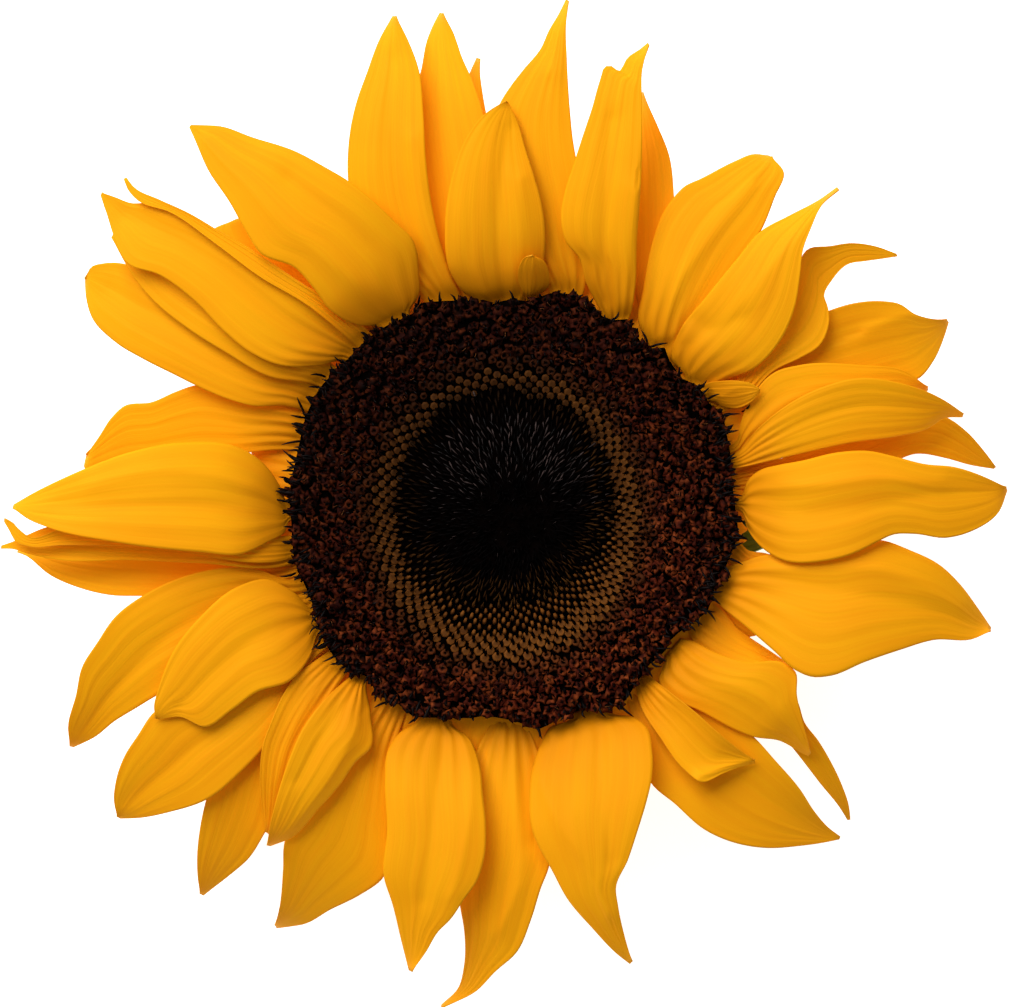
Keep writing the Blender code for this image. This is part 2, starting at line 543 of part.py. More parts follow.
def triangulated(points, edges):
    """Triangles of a flat set of points, which keep the given edges, and the points that they use."""
    found = delaunay_2d_cdt([tuple(p) for p in points.tolist()], edges, [], 0, SAME_POINT)
    return np.array([tuple(p) for p in found[0]]), np.array([tuple(face) for face in found[2]])


def floret_zone(name, inner, outer, relief, surface, finish):
    """A zone of the disc as relief: a bud rises at each phyllotaxis point, and the hollows lie in the
    middle of each triangle of three neighbours. The surface function gives the hollows' height."""
    sides, spacing, bud = relief
    margin = spacing * FLORET_MARGIN_SHARE
    kept_off = spacing * HOLLOW_MARGIN_SHARE
    buds = phyllotaxis(inner + margin if inner else 0, outer - margin, spacing)
    _, near = triangulated(buds, [])
    hollows = buds[near].mean(axis=1)
    radius = np.hypot(hollows[:, 0], hollows[:, 1])
    hollows = hollows[(radius > inner + kept_off) & (radius < outer - kept_off)]
    rings = [ring_points(outer, sides)] + ([ring_points(inner, sides)] if inner else [])
    edges = [(r * sides + j, r * sides + (j + 1) % sides) for r in range(len(rings)) for j in range(sides)]
    points, faces = triangulated(np.concatenate([*rings, buds, hollows]), edges)
    if inner:
        middles = points[faces].mean(axis=1)
        faces = faces[np.hypot(middles[:, 0], middles[:, 1]) > inner * math.cos(math.pi / sides)]
    radius = np.hypot(points[:, 0], points[:, 1])
    first, last = len(rings) * sides, len(rings) * sides + len(buds)
    height = surface(radius)
    height[first:last] += bud
    top = np.column_stack([points, height])
    rim = points[:first].copy()
    if outer > DISC_FLOOR_RADIUS:
        rim[:sides] *= DISC_FLOOR_RADIUS / outer
    floor = np.column_stack([rim, np.full(first, DISC_FLOOR)])
    j = np.arange(sides)
    after = (j + 1) % sides
    low = len(top)
    walls = [np.stack([after, j, j + low, after + low], 1)]
    if inner:
        walls.append(np.stack([j + sides, after + sides, after + sides + low, j + sides + low], 1))
        walls.append(np.stack([after + low, j + low, j + sides + low, after + sides + low], 1))
    else:
        walls.append([tuple(reversed(range(low, low + sides)))])
    everything = [tuple(f) for group in [faces, *walls] for f in group]
    return mesh_object(name, np.concatenate([top, floor]), everything, finish)


def outer_surface(radius):
    """Level, and rounded down towards the rim."""
    return OUTER_LEVEL - OUTER_FALL * ((radius - OUTER_FALL_FROM).clip(0) / OUTER_FALL_WITHIN) ** 2


def ring_surface(radius):
    return RING_LEVEL + 0 * radius


def centre_surface(radius):
    """A low dome."""
    return CENTRE_EDGE_LEVEL + CENTRE_DOME * (1 - (radius / CENTRE_OUTER) ** 2)


def disc(maroon, golden, black):
    """The disc's florets: open ones outside, a ring of buds about to open, and shut ones inside."""
    floret_zone("outer_disc_florets", OUTER_INNER, OUTER_OUTER, OUTER_RELIEF, outer_surface, maroon)
    floret_zone("ring_disc_florets", RING_INNER, RING_OUTER, RING_RELIEF, ring_surface, golden)
    floret_zone("centre_disc_florets", 0, CENTRE_OUTER, CENTRE_RELIEF, centre_surface, black)


def main():
    clear_scene()
    yellow = material("petal_yellow", *PETAL_YELLOW)
    green = material("bract_green", *BRACT_GREEN)
    maroon = material("floret_maroon", *FLORET_MAROON)
    golden = material("bud_golden_brown", *BUD_GOLDEN_BROWN)
    black = material("bud_black", *BUD_BLACK)
    green_back(green)
    ray_petals(yellow)
    disc(maroon, golden, black)


main()
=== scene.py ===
"""Looks of a sunflower head that was picked and laid on its back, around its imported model.

Blender 4.5. The finished meshes are in metres, +Z up out of the flower's face, with the origin on the
cut face of the stub. Lengths in this file are millimetres, and places read off the picture are its points.
"""

import math

import bpy
import numpy as np
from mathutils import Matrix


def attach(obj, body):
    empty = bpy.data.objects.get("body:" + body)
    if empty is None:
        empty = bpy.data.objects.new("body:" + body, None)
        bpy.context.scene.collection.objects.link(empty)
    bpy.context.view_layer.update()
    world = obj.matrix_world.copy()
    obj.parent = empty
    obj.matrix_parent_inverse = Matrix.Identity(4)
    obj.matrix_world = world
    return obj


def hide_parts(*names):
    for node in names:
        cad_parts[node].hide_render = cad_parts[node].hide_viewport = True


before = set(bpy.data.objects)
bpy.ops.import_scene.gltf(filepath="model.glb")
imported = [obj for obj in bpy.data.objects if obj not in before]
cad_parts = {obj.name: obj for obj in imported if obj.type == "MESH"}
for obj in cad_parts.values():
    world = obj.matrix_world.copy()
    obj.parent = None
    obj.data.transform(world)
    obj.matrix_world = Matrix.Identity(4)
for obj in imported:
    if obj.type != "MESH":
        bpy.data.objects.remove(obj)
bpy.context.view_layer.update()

# Scale and place of the picture's points, as in the part's source
MM_PER_POINT = 0.16
DISC_MIDDLE = (515, 514)
PICTURE_MIDDLE = (504.5, 503.5)
PICTURE_SIZE = (1009, 1007)
PICTURE_PLANE = 24.0
PICTURE_TAKEN_FROM = 1200.0
METRES_PER_MM = 0.001
SENSOR_WIDTH = 36.0

# Petals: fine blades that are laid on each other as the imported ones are, with the same room for each
PETAL_ROOM = 0.36
PETAL_THICKNESS = 0.3
PETAL_EDGE_THICKNESS = 0.06
PETAL_ROOT_RADIUS = 33.0
PETAL_ROOT_SPREAD = 0.75
PETAL_ROOT_LOW = 19.2
PETAL_ROOT_HIGH = 19.9
PETAL_CLEARANCE = 0.12
PETAL_TIP_WIDTH = 0.5
RISE_WITHIN = 16.0
PETAL_ROWS = 61
PETAL_COLUMNS = 37
PETAL_GROUP_ENDS = (14, 30)
PETAL_BASE_LENGTH = 14.0
MAP_CELL = 0.5
MAP_CELLS = 360
CEILING_LOW = 20.7
CEILING_STEP = 1.2
CEILING_RISE = 12.0
CEILING_UNEVEN = 0.15
CEILING_WITHIN = 22.0
CEILING_ROUNDING = 1.6
LIFT_FROM = -2.5
LIFT_FULL = 2.0
FOLD_SHARE = 0.8

# Collar of crowded petal bases under the petals, and the gap in it where the picture shows green
COLLAR_ROWS = 12
COLLAR_STEPS = 720
COLLAR_THICKNESS = 0.3
COLLAR_FALL = 0.6
COLLAR_PLEATS = 120
COLLAR_PLEAT_HEIGHT = 0.16
COLLAR_PLEAT_REACH = 0.5
COLLAR_INNER = 31.0
COLLAR_REACH = 43.0
COLLAR_TOP = 19.7
COLLAR_NOTCH = (750, 535)
COLLAR_NOTCH_REACH = 37.0
COLLAR_SEED = 31

# Disc: heights of its surface, and the ring of buds between the open florets and the shut ones
BED_FLOOR = 20.6
BED_SIDES = 120
BED_DEPTH = 0.8
FLORETS_REACH = 38.5
FLORET_RIM_GAP = 0.4
RING_MIDDLE = (505, 515)
RING_HALF_WIDTH = 133
RING_HALF_HEIGHT = 145
RING_BUTTONS_FROM = 0.84
RING_DEEPER = 0.24
RING_DROPS_UNTIL = 1.12
GOLDEN_ANGLE = math.pi * (3 - math.sqrt(5))
BRIGHT_SIDE = math.radians(-60)
FIRST_SEED = 10

# Back of the head: the bracts' roots under the dish, and each row's tip radius, tip height, half width and
# first direction in degrees
BRACT_ROOT_RADIUS = 24.0
BRACT_ROOT_HEIGHT = 11.6
BRACT_THICKNESS = 0.7
BRACTS_IN_A_ROW = 13
BRACT_ROWS = ((45.0, 14.6, 5.6, -5.0), (50.5, 16.2, 5.0, 8.8))

# Studio, in metres and watts
FLOOR_HALF = 3.0
KEY_PLACE = (-0.36, 0.57, 0.67)
KEY_AIM = (0, 0, 0.02)
KEY_SIZE = 0.75
KEY_POWER = 10.9
SURROUND_STRENGTH = 0.34

# Rim of the disc as it is seen between the petals' bases, clockwise from the right
RIM_POINTS = [
    (738, 505), (742, 535), (735, 553), (728, 570), (717, 590), (712, 612), (690, 628), (674, 640),
    (667, 655), (650, 668), (637, 688), (622, 710), (600, 709), (580, 714), (558, 722), (540, 734),
    (522, 726), (500, 721), (484, 719), (466, 722), (448, 720), (425, 721), (410, 719), (396, 705),
    (374, 698), (368, 680), (345, 672), (328, 656), (318, 634), (312, 612), (303, 588), (292, 568),
    (289, 545), (288, 520), (286, 492), (290, 470), (295, 448), (301, 420), (308, 402), (318, 384),
    (334, 368), (350, 352), (364, 337), (382, 324), (410, 312), (420, 299), (440, 298), (462, 297),
    (486, 303), (508, 296), (530, 298), (548, 290), (572, 290), (592, 300), (608, 318), (630, 316),
    (638, 334), (650, 346), (669, 345), (672, 360), (686, 378), (702, 384), (712, 402), (726, 412),
    (730, 434), (734, 455), (735, 480),
]

# Each petal, the lowest one first: its name, the points of its left edge, its tip and the points of its
# right edge, each from the base outwards and seen with the tip up, in picture points; then how it is
# held, in millimetres: rise from the base, droop of the tip, raised edges, and right edge over left.
PETALS = [
    ("north_back_c", [(480, 300), (470, 200), (462, 130), (464, 90), (470, 72)], (478, 58),
     [(510, 300), (505, 200), (495, 150), (486, 113), (482, 90), (480, 75)], (4, 8, 0, 1)),
    ("north_back_b", [(446, 300), (430, 240), (419, 180), (413, 130), (414, 95), (421, 70), (427, 40),
     (433, 25)], (441, 13), [(492, 300), (496, 240), (495, 200), (492, 160), (486, 125), (478, 97),
     (469, 73), (463, 60), (452, 30)], (6, 7, 0.3, 1)),
    ("north_east_back", [(640, 333), (632, 280), (628, 220), (628, 160), (634, 115)], (641, 93),
     [(662, 338), (672, 290), (675, 240), (674, 197), (669, 155), (658, 127), (648, 105)], (5, 8, 0, 1.5)),
    ("east_back_high", [(706, 388), (735, 362), (780, 335), (828, 311), (855, 303), (880, 301),
     (900, 304), (915, 314), (933, 319)], (948, 321), [(722, 412), (790, 408), (850, 398), (900, 386),
     (921, 377), (933, 362), (945, 335)], (6, 10, 0.5, -1)),
    ("east_back_low", [(744, 470), (850, 436), (900, 420), (946, 417), (965, 430), (985, 452)],
     (995, 468), [(745, 490), (850, 475), (893, 462), (915, 454), (945, 458), (970, 465)], (4, 10, 0.3, 0)),
    ("west_back_blunt", [(291, 450), (220, 456), (150, 462), (100, 466), (84, 468)], (86, 456),
     [(303, 408), (250, 396), (196, 385), (175, 392), (152, 402), (124, 406), (112, 417), (98, 438),
      (91, 448)], (6, 9, -0.3, 1)),
    ("west_back_low", [(292, 582), (230, 591), (180, 597), (144, 596), (110, 595), (80, 588), (50, 575),
     (25, 555)], (18, 550), [(287, 560), (200, 555), (130, 549), (60, 547), (30, 546)], (5, 9, 0, -1)),
    ("south_west_back_inner", [(318, 683), (295, 740), (275, 800), (267, 829), (262, 838), (250, 857),
     (230, 875), (212, 889)], (202, 895), [(300, 668), (250, 718), (216, 768), (206, 800), (200, 828),
     (197, 860), (198, 880)], (5, 12, 0.3, 1)),
    ("south_west_back_long", [(405, 716), (392, 760), (388, 830), (383, 878), (360, 895), (330, 910),
     (305, 924), (288, 927)], (276, 927), [(368, 706), (335, 765), (300, 815), (285, 840), (283, 870),
     (280, 905)], (5, 13, 0, 2)),
    ("south_east_back_narrow", [(700, 640), (750, 670), (797, 700), (805, 723), (818, 740), (830, 760),
     (842, 785), (849, 806)], (849, 820), [(688, 660), (745, 715), (792, 747), (800, 757), (820, 783),
     (840, 808)], (4, 12, 0.3, 0)),
    ("south_east_back_wide", [(656, 680), (700, 702), (754, 737), (775, 760), (800, 789), (815, 812),
     (828, 827)], (840, 838), [(628, 706), (640, 745), (651, 783), (675, 804), (705, 830), (735, 843),
     (765, 848), (800, 846), (822, 843)], (6, 11, 0.5, 0)),
    ("south_middle", [(528, 728), (540, 760), (549, 800), (551, 840), (549, 867), (541, 888),
     (531, 920), (517, 952), (495, 972), (475, 992), (455, 1002)], (441, 1006), [(488, 728), (472, 762),
     (462, 805), (458, 850), (460, 906), (464, 930), (464, 965), (458, 988)], (6, 13, -0.3, -1)),
    ("south_east_small_back", [(708, 600), (740, 630), (772, 652)], (793, 668), [(690, 636), (715, 655),
     (745, 664), (772, 668)], (3, 3, 0, 0)),
    ("north_a", [(425, 303), (385, 262), (358, 222), (348, 180), (348, 150), (351, 125), (357, 100),
     (366, 75), (380, 38)], (394, 16), [(462, 303), (452, 275), (440, 240), (431, 200), (426, 160),
     (423, 110), (419, 70), (408, 40)], (9, 6, -0.3, 1)),
    ("north_e", [(550, 294), (520, 250), (498, 190), (492, 140), (500, 103), (510, 87), (523, 70),
     (541, 48), (549, 30), (558, 15)], (567, 0), [(584, 292), (590, 250), (585, 200), (577, 163),
     (573, 140), (570, 110), (567, 60), (566, 25)], (9, 5, -0.3, 1)),
    ("north_east_horned", [(718, 396), (745, 360), (775, 310), (796, 268), (808, 249), (830, 246),
     (850, 243), (875, 246)], (897, 255), [(742, 402), (775, 370), (800, 358), (820, 345), (829, 322),
     (828, 308), (824, 296), (832, 280), (848, 264), (865, 261), (880, 259)], (8, 8, 0.3, 0)),
    ("north_east_round", [(645, 343), (638, 320), (643, 290), (653, 240), (662, 215), (674, 197),
     (685, 186), (700, 179), (735, 161), (753, 154)], (770, 156), [(680, 368), (700, 325), (725, 285),
     (745, 255), (761, 231), (775, 197), (784, 172)], (9, 8, -0.5, 1)),
    ("east_fold_upper", [(737, 440), (740, 425), (750, 400), (775, 372), (800, 365), (860, 365),
     (905, 371)], (928, 389), [(745, 462), (800, 450), (860, 430), (905, 408)], (9, 8, -0.3, 0)),
    ("south_west_long", [(312, 662), (285, 720), (245, 768), (206, 800), (170, 812), (140, 818)],
     (119, 818), [(300, 636), (240, 670), (190, 695), (154, 712), (138, 735), (124, 757), (116, 780),
     (114, 803)], (8, 10, -0.3, 1)),
    ("west_south_long", [(306, 612), (250, 645), (200, 672), (156, 696), (133, 710), (115, 721),
     (95, 737)], (72, 747), [(292, 580), (250, 568), (200, 572), (144, 595), (115, 617), (97, 643),
     (82, 667), (76, 695), (68, 728)], (9, 9, -0.3, 1)),
    ("north_west_round", [(302, 410), (285, 406), (255, 406), (225, 398), (197, 386), (175, 375),
     (145, 360), (115, 342), (92, 318), (86, 298)], (85, 280), [(318, 375), (260, 340), (200, 300),
     (150, 275), (126, 264), (105, 263), (91, 267)], (9, 8, -0.5, 1)),
    ("north_west_hidden", [(355, 333), (290, 302), (240, 268), (212, 246), (210, 234)], (236, 219),
     [(380, 320), (330, 280), (290, 250), (262, 216)], (7, 2, 0, 0)),
    ("west_hooked", [(287, 566), (200, 563), (130, 560), (60, 560), (25, 553), (13, 549)], (1, 547),
     [(286, 538), (200, 540), (110, 534), (47, 527), (27, 535), (14, 541)], (8, 7, 0.3, 1)),
    ("west_hook", [(286, 560), (150, 547), (60, 545), (28, 546), (15, 541), (10, 532)], (4, 520),
     [(286, 536), (150, 530), (60, 529), (30, 537), (19, 529), (11, 521)], (8, 6, 0, 1)),
    ("east_fold_lower", [(740, 450), (755, 432), (780, 410), (820, 388), (862, 378), (900, 383),
     (928, 392), (950, 404)], (963, 416), [(738, 468), (770, 461), (800, 454), (850, 443), (900, 436),
     (925, 430), (946, 418)], (10, 8, -0.5, -1)),
    ("north_west_lower", [(315, 385), (270, 377), (225, 352), (190, 330), (150, 297), (128, 268)],
     (112, 236), [(330, 362), (260, 310), (190, 262), (145, 232)], (10, 8, -0.3, 1)),
    ("south_west_left", [(345, 676), (325, 710), (300, 750), (287, 790), (276, 822)], (267, 833),
     [(316, 660), (295, 677), (283, 695), (272, 720), (263, 745), (260, 775), (262, 808)], (8, 9, 0.3, 0)),
    ("south_east_front", [(690, 640), (715, 652), (745, 662), (784, 663), (795, 671), (797, 695),
     (803, 723), (808, 742)], (809, 755), [(664, 662), (659, 680), (668, 694), (700, 711), (740, 732),
     (754, 737), (780, 741), (800, 752)], (9, 9, -0.3, -1)),
    ("south_east_small", [(654, 680), (672, 694), (695, 712), (715, 730), (737, 748)], (755, 762),
     [(636, 690), (640, 705), (660, 737), (685, 770), (702, 782), (722, 774), (740, 767)], (8, 5, 1.2, 0)),
    ("east_south_front", [(728, 566), (760, 556), (800, 550), (840, 545), (881, 540), (910, 550),
     (940, 565), (960, 584), (978, 608)], (991, 629), [(714, 600), (745, 626), (775, 652), (795, 670),
     (812, 677), (830, 676), (865, 662), (900, 650), (934, 640), (973, 639)], (12, 11, -0.6, 1)),
    ("north_d", [(478, 302), (464, 293), (451, 274), (445, 225), (451, 180), (464, 142), (486, 113),
     (500, 104)], (508, 102), [(526, 299), (540, 280), (545, 250), (541, 200), (534, 175), (526, 150),
     (517, 120)], (11, 4, -1, 0)),
    ("north_curl", [(524, 296), (518, 280), (519, 266), (524, 258)], (534, 256),
     [(540, 296), (549, 286), (549, 272), (544, 261)], (4, 0.5, -1, 0)),
    ("north_f", [(603, 318), (596, 303), (586, 283), (579, 258), (566, 242), (561, 215), (564, 195),
     (574, 163), (583, 135), (592, 108), (600, 80), (606, 66), (612, 66), (618, 71), (628, 57),
     (640, 49)], (648, 44), [(630, 316), (635, 290), (637, 240), (640, 200), (642, 150), (642, 100),
     (642, 72)], (13, 5, -0.6, 1)),
    ("north_east_front", [(685, 378), (671, 359), (680, 330), (705, 298), (735, 261), (761, 231),
     (790, 215), (820, 199)], (838, 188), [(728, 380), (752, 370), (780, 341), (794, 310), (800, 275),
     (803, 250), (811, 228), (823, 203)], (13, 6, -0.6, 1)),
    ("east_front", [(741, 496), (748, 480), (760, 470), (778, 465), (800, 461), (840, 452), (870, 451),
     (893, 456), (925, 464), (955, 467), (985, 477)], (1007, 489), [(741, 512), (748, 530), (760, 546),
     (782, 560), (825, 561), (850, 555), (881, 540), (892, 535), (915, 534), (945, 538), (970, 532),
     (999, 512)], (12, 9, -0.6, -1)),
    ("south_front_right", [(612, 713), (636, 718), (646, 726), (652, 750), (651, 783), (647, 800),
     (637, 833), (628, 860), (616, 888), (618, 905), (627, 945)], (631, 963), [(570, 719), (550, 727),
     (540, 745), (531, 772), (529, 800), (532, 830), (543, 855), (550, 867), (568, 900), (592, 928),
     (618, 955)], (11, 10, -0.6, 1)),
    ("south_front_left", [(452, 723), (469, 738), (480, 765), (483, 795), (486, 825), (484, 860),
     (476, 883), (465, 898), (450, 920), (438, 932), (426, 952)], (410, 971), [(416, 722), (399, 733),
     (388, 750), (385, 780), (387, 830), (384, 878), (392, 903), (401, 940)], (11, 9, -0.6, -1)),
    ("south_west_front", [(368, 680), (371, 715), (371, 748), (357, 761), (340, 785), (318, 810),
     (293, 837)], (269, 846), [(348, 678), (330, 694), (305, 725), (287, 765), (276, 800),
     (269, 832)], (11, 9, -0.6, 1)),
    ("west_south_front", [(318, 634), (311, 655), (290, 681), (257, 692), (232, 710), (205, 727),
     (180, 717)], (157, 719), [(312, 608), (295, 593), (265, 579), (235, 588), (200, 617), (174, 650),
     (158, 690), (154, 706)], (11, 8, -0.6, 1)),
    ("west_front", [(289, 522), (285, 532), (270, 541), (242, 554), (200, 552), (120, 543), (47, 527),
     (28, 519)], (13, 506), [(288, 503), (280, 486), (260, 460), (235, 446), (190, 442), (130, 452),
     (84, 469), (55, 482), (35, 492)], (13, 7, -0.6, 1)),
    ("north_west_edge", [(343, 361), (320, 365), (280, 365), (250, 352), (225, 332), (195, 301),
     (160, 275), (126, 262), (115, 240), (107, 215)], (101, 194), [(352, 338), (306, 292), (250, 248),
     (200, 223), (166, 208), (146, 203), (131, 203), (115, 197)], (10, 6, -0.3, 1)),
    ("north_west_strip", [(351, 342), (305, 304), (260, 277), (215, 243), (170, 212), (137, 200),
     (128, 190)], (125, 178), [(368, 330), (345, 310), (300, 282), (255, 252), (219, 231), (190, 214),
     (160, 200), (134, 187)], (10, 6, 0.3, 0)),
    ("north_west_front", [(378, 327), (358, 325), (332, 312), (315, 290), (295, 268), (260, 253),
     (246, 232), (230, 203), (208, 170), (194, 138)], (190, 126), [(410, 310), (418, 298), (419, 270),
     (413, 240), (395, 222), (370, 198), (347, 180), (325, 167), (295, 151), (252, 137), (220, 126),
     (203, 125)], (14, 7, -0.6, 1)),
]

# Small petals under all the others and over them, given in the same way
LOWEST_PETALS = [
    ("east_gap", [(737, 540), (748, 550), (765, 553), (785, 560)], (800, 570),
     [(728, 566), (745, 576), (770, 580), (788, 578)], (6, 2, 0, 0)),
]
HIGHEST_PETALS = [
    ("east_lobe", [(704, 384), (720, 381), (740, 381), (752, 384)], (760, 391),
     [(713, 402), (724, 407), (738, 408), (751, 402)], (5, 1, -0.5, 0)),
]

# Folds that the light shows on single petals: petal, the fold's line in picture points, its height, and
# its width to the left and to the right of the line as it is drawn, in millimetres
FOLDS = [
    ("north_e", [(553, 70), (558, 40), (566, 14)], 0.9, 1.2, 2.6),
    ("north_f", [(632, 300), (631, 250), (636, 190)], 1.1, 2.4, 0.8),
    ("north_f", [(606, 300), (604, 250), (606, 190), (611, 120)], -0.9, 1.6, 1.6),
    ("south_east_small", [(700, 776), (722, 768), (750, 761)], 1.3, 0.8, 2.2),
    ("south_front_right", [(541, 782), (550, 808), (566, 836), (582, 858), (600, 890), (610, 914)],
     0.9, 2.2, 0.9),
    ("south_front_right", [(602, 722), (600, 760), (604, 810), (612, 860)], -0.7, 1.8, 1.8),
    ("south_front_left", [(450, 727), (440, 770), (432, 830), (424, 900)], -0.7, 1.7, 1.7),
    ("south_front_left", [(470, 745), (472, 790), (466, 840), (452, 895)], 0.6, 1.4, 1.4),
    ("south_middle", [(505, 735), (512, 780), (520, 830), (520, 880), (500, 930)], 0.8, 1.6, 1.6),
    ("south_middle", [(522, 740), (533, 790), (535, 840)], -0.6, 1.3, 1.3),
    ("north_east_front", [(684, 346), (682, 372)], -1.0, 1.0, 1.2),
    ("north_east_front", [(690, 318), (712, 330), (738, 318)], -0.9, 2.2, 2.4),
    ("north_east_front", [(700, 360), (738, 312), (775, 262), (808, 222)], 0.7, 1.6, 2.6),
    ("north_east_round", [(664, 345), (676, 290), (712, 235), (752, 186)], 0.7, 2.2, 1.4),
    ("east_back_high", [(868, 330), (900, 317), (918, 314)], 0.8, 1.0, 2.5),
    ("east_front", [(752, 500), (800, 512), (860, 505), (930, 495), (990, 490)], -0.8, 2.2, 2.2),
    ("east_front", [(760, 478), (812, 486), (870, 480), (940, 482)], 0.6, 1.8, 1.8),
    ("east_fold_lower", [(752, 448), (800, 425), (860, 405), (930, 408)], -0.6, 2.0, 2.0),
    ("east_fold_upper", [(758, 430), (800, 395), (850, 382), (915, 384)], 0.6, 1.8, 1.8),
    ("east_south_front", [(745, 585), (820, 590), (890, 598), (975, 625)], -0.8, 2.4, 2.4),
    ("east_south_front", [(745, 570), (820, 565), (890, 572), (960, 605)], 0.6, 1.6, 2.0),
    ("south_east_front", [(690, 664), (730, 684), (770, 704), (800, 738)], 0.6, 1.6, 2.2),
    ("south_west_front", [(362, 690), (352, 735), (322, 790), (285, 835)], 0.9, 1.2, 2.0),
    ("south_west_front", [(352, 688), (325, 730), (298, 780)], -0.7, 1.6, 1.6),
    ("west_south_front", [(310, 622), (270, 630), (225, 662), (180, 706)], -0.7, 2.0, 2.0),
    ("west_front", [(285, 512), (230, 505), (150, 505), (60, 505)], -0.8, 2.4, 2.2),
    ("west_front", [(280, 498), (230, 478), (160, 470), (90, 485)], 0.5, 1.8, 2.0),
    ("north_west_front", [(395, 318), (365, 290), (310, 245), (250, 190), (205, 140)], 0.8, 2.0, 2.4),
    ("north_west_front", [(408, 302), (385, 262), (345, 225), (290, 178)], -0.7, 2.2, 2.2),
    ("north_west_edge", [(345, 352), (300, 330), (240, 282), (180, 240), (125, 215)], -0.8, 1.8, 2.2),
    ("north_west_lower", [(322, 372), (270, 340), (215, 295), (160, 252)], 0.7, 2.0, 2.0),
    ("north_west_round", [(305, 395), (250, 370), (180, 330), (110, 290)], -0.8, 2.4, 2.4),
    ("north_d", [(500, 298), (498, 250), (500, 190), (508, 130)], -0.8, 2.0, 2.0),
    ("north_d", [(520, 290), (524, 240), (520, 180)], 0.7, 1.6, 1.6),
    ("north_a", [(440, 290), (410, 230), (395, 150), (392, 60)], -0.8, 2.2, 2.2),
    ("north_a", [(450, 290), (428, 220), (412, 140)], 0.6, 1.6, 1.6),
    ("south_west_long", [(305, 650), (250, 705), (190, 750), (130, 800)], -0.7, 2.0, 2.2),
    ("west_south_long", [(298, 596), (220, 605), (150, 650), (85, 730)], -0.8, 2.2, 2.2),
    ("south_east_back_wide", [(645, 695), (700, 745), (765, 795), (825, 832)], -0.7, 2.2, 2.2),
    ("south_west_left", [(335, 668), (300, 715), (278, 775), (268, 825)], 0.7, 1.4, 1.8),
]

# Long dark scales that stand out over the petals' bases: root and tip, in picture points
RIM_SCALES = [
    (306, 418, 290, 415), (311, 439, 292, 426), (304, 441, 281, 445), (300, 464, 282, 449),
    (296, 471, 281, 471), (291, 481, 278, 477), (290, 492, 277, 488), (304, 412, 297, 397),
    (322, 388, 308, 387), (326, 377, 310, 375), (346, 363, 334, 356), (418, 305, 420, 295),
    (436, 303, 428, 296), (440, 304, 440, 291), (456, 304, 450, 294), (513, 302, 509, 290),
    (648, 346, 641, 330), (650, 347, 668, 343), (612, 320, 619, 311), (608, 322, 605, 314),
    (697, 391, 707, 380), (708, 399, 720, 394), (718, 417, 741, 414), (742, 412, 750, 404),
    (722, 432, 739, 430), (724, 494, 743, 496), (719, 483, 735, 489), (722, 521, 744, 519),
    (729, 530, 748, 539), (727, 538, 749, 540), (722, 560, 733, 553), (723, 565, 731, 578),
    (697, 607, 716, 612), (700, 606, 716, 622), (686, 606, 699, 624), (650, 648, 672, 648),
    (655, 655, 667, 662), (644, 666, 653, 678), (626, 689, 632, 700), (620, 705, 634, 717),
    (599, 705, 606, 717), (534, 726, 539, 738), (539, 726, 542, 739), (296, 573, 279, 576),
    (294, 528, 283, 527), (292, 513, 282, 514), (313, 586, 302, 595), (321, 612, 311, 625),
    (323, 626, 309, 635), (321, 639, 311, 650), (341, 652, 322, 662), (351, 661, 331, 663),
    (354, 667, 343, 673), (388, 702, 374, 708), (386, 705, 384, 695), (418, 717, 408, 724),
    (412, 700, 413, 719), (384, 690, 388, 704), (720, 470, 735, 462), (716, 448, 732, 441),
]


def placed(points):
    """Picture points as millimetres from the flower's axis, with +Y up the picture."""
    return (np.asarray(points, float) - DISC_MIDDLE) * (MM_PER_POINT, -MM_PER_POINT)


def drawn_in(points):
    """Points moved along the lines of sight, so that each is seen where the picture has it: the nearer
    it is to where the picture was taken, the nearer it is to the line through the picture's middle."""
    middle = placed([PICTURE_MIDDLE])[0]
    share = (PICTURE_TAKEN_FROM - points[..., 2:]) / (PICTURE_TAKEN_FROM - PICTURE_PLANE)
    return np.concatenate([middle + (points[..., :2] - middle) * share, points[..., 2:]], axis=-1)


def eased(value, low, high):
    """0 below low and 1 above high, with t t (3 - 2 t) in between."""
    t = ((value - low) / (high - low)).clip(0, 1)
    return t * t * (3 - 2 * t)


def rim_radius(x, y):
    """The disc's radius on the side of each point: read off between the rim's points by their angle."""
    rim = placed(RIM_POINTS)
    angles = np.arctan2(rim[:, 1], rim[:, 0])
    order = np.argsort(angles)
    return np.interp(np.arctan2(y, x), angles[order], np.hypot(*rim[order].T), period=2 * math.pi)


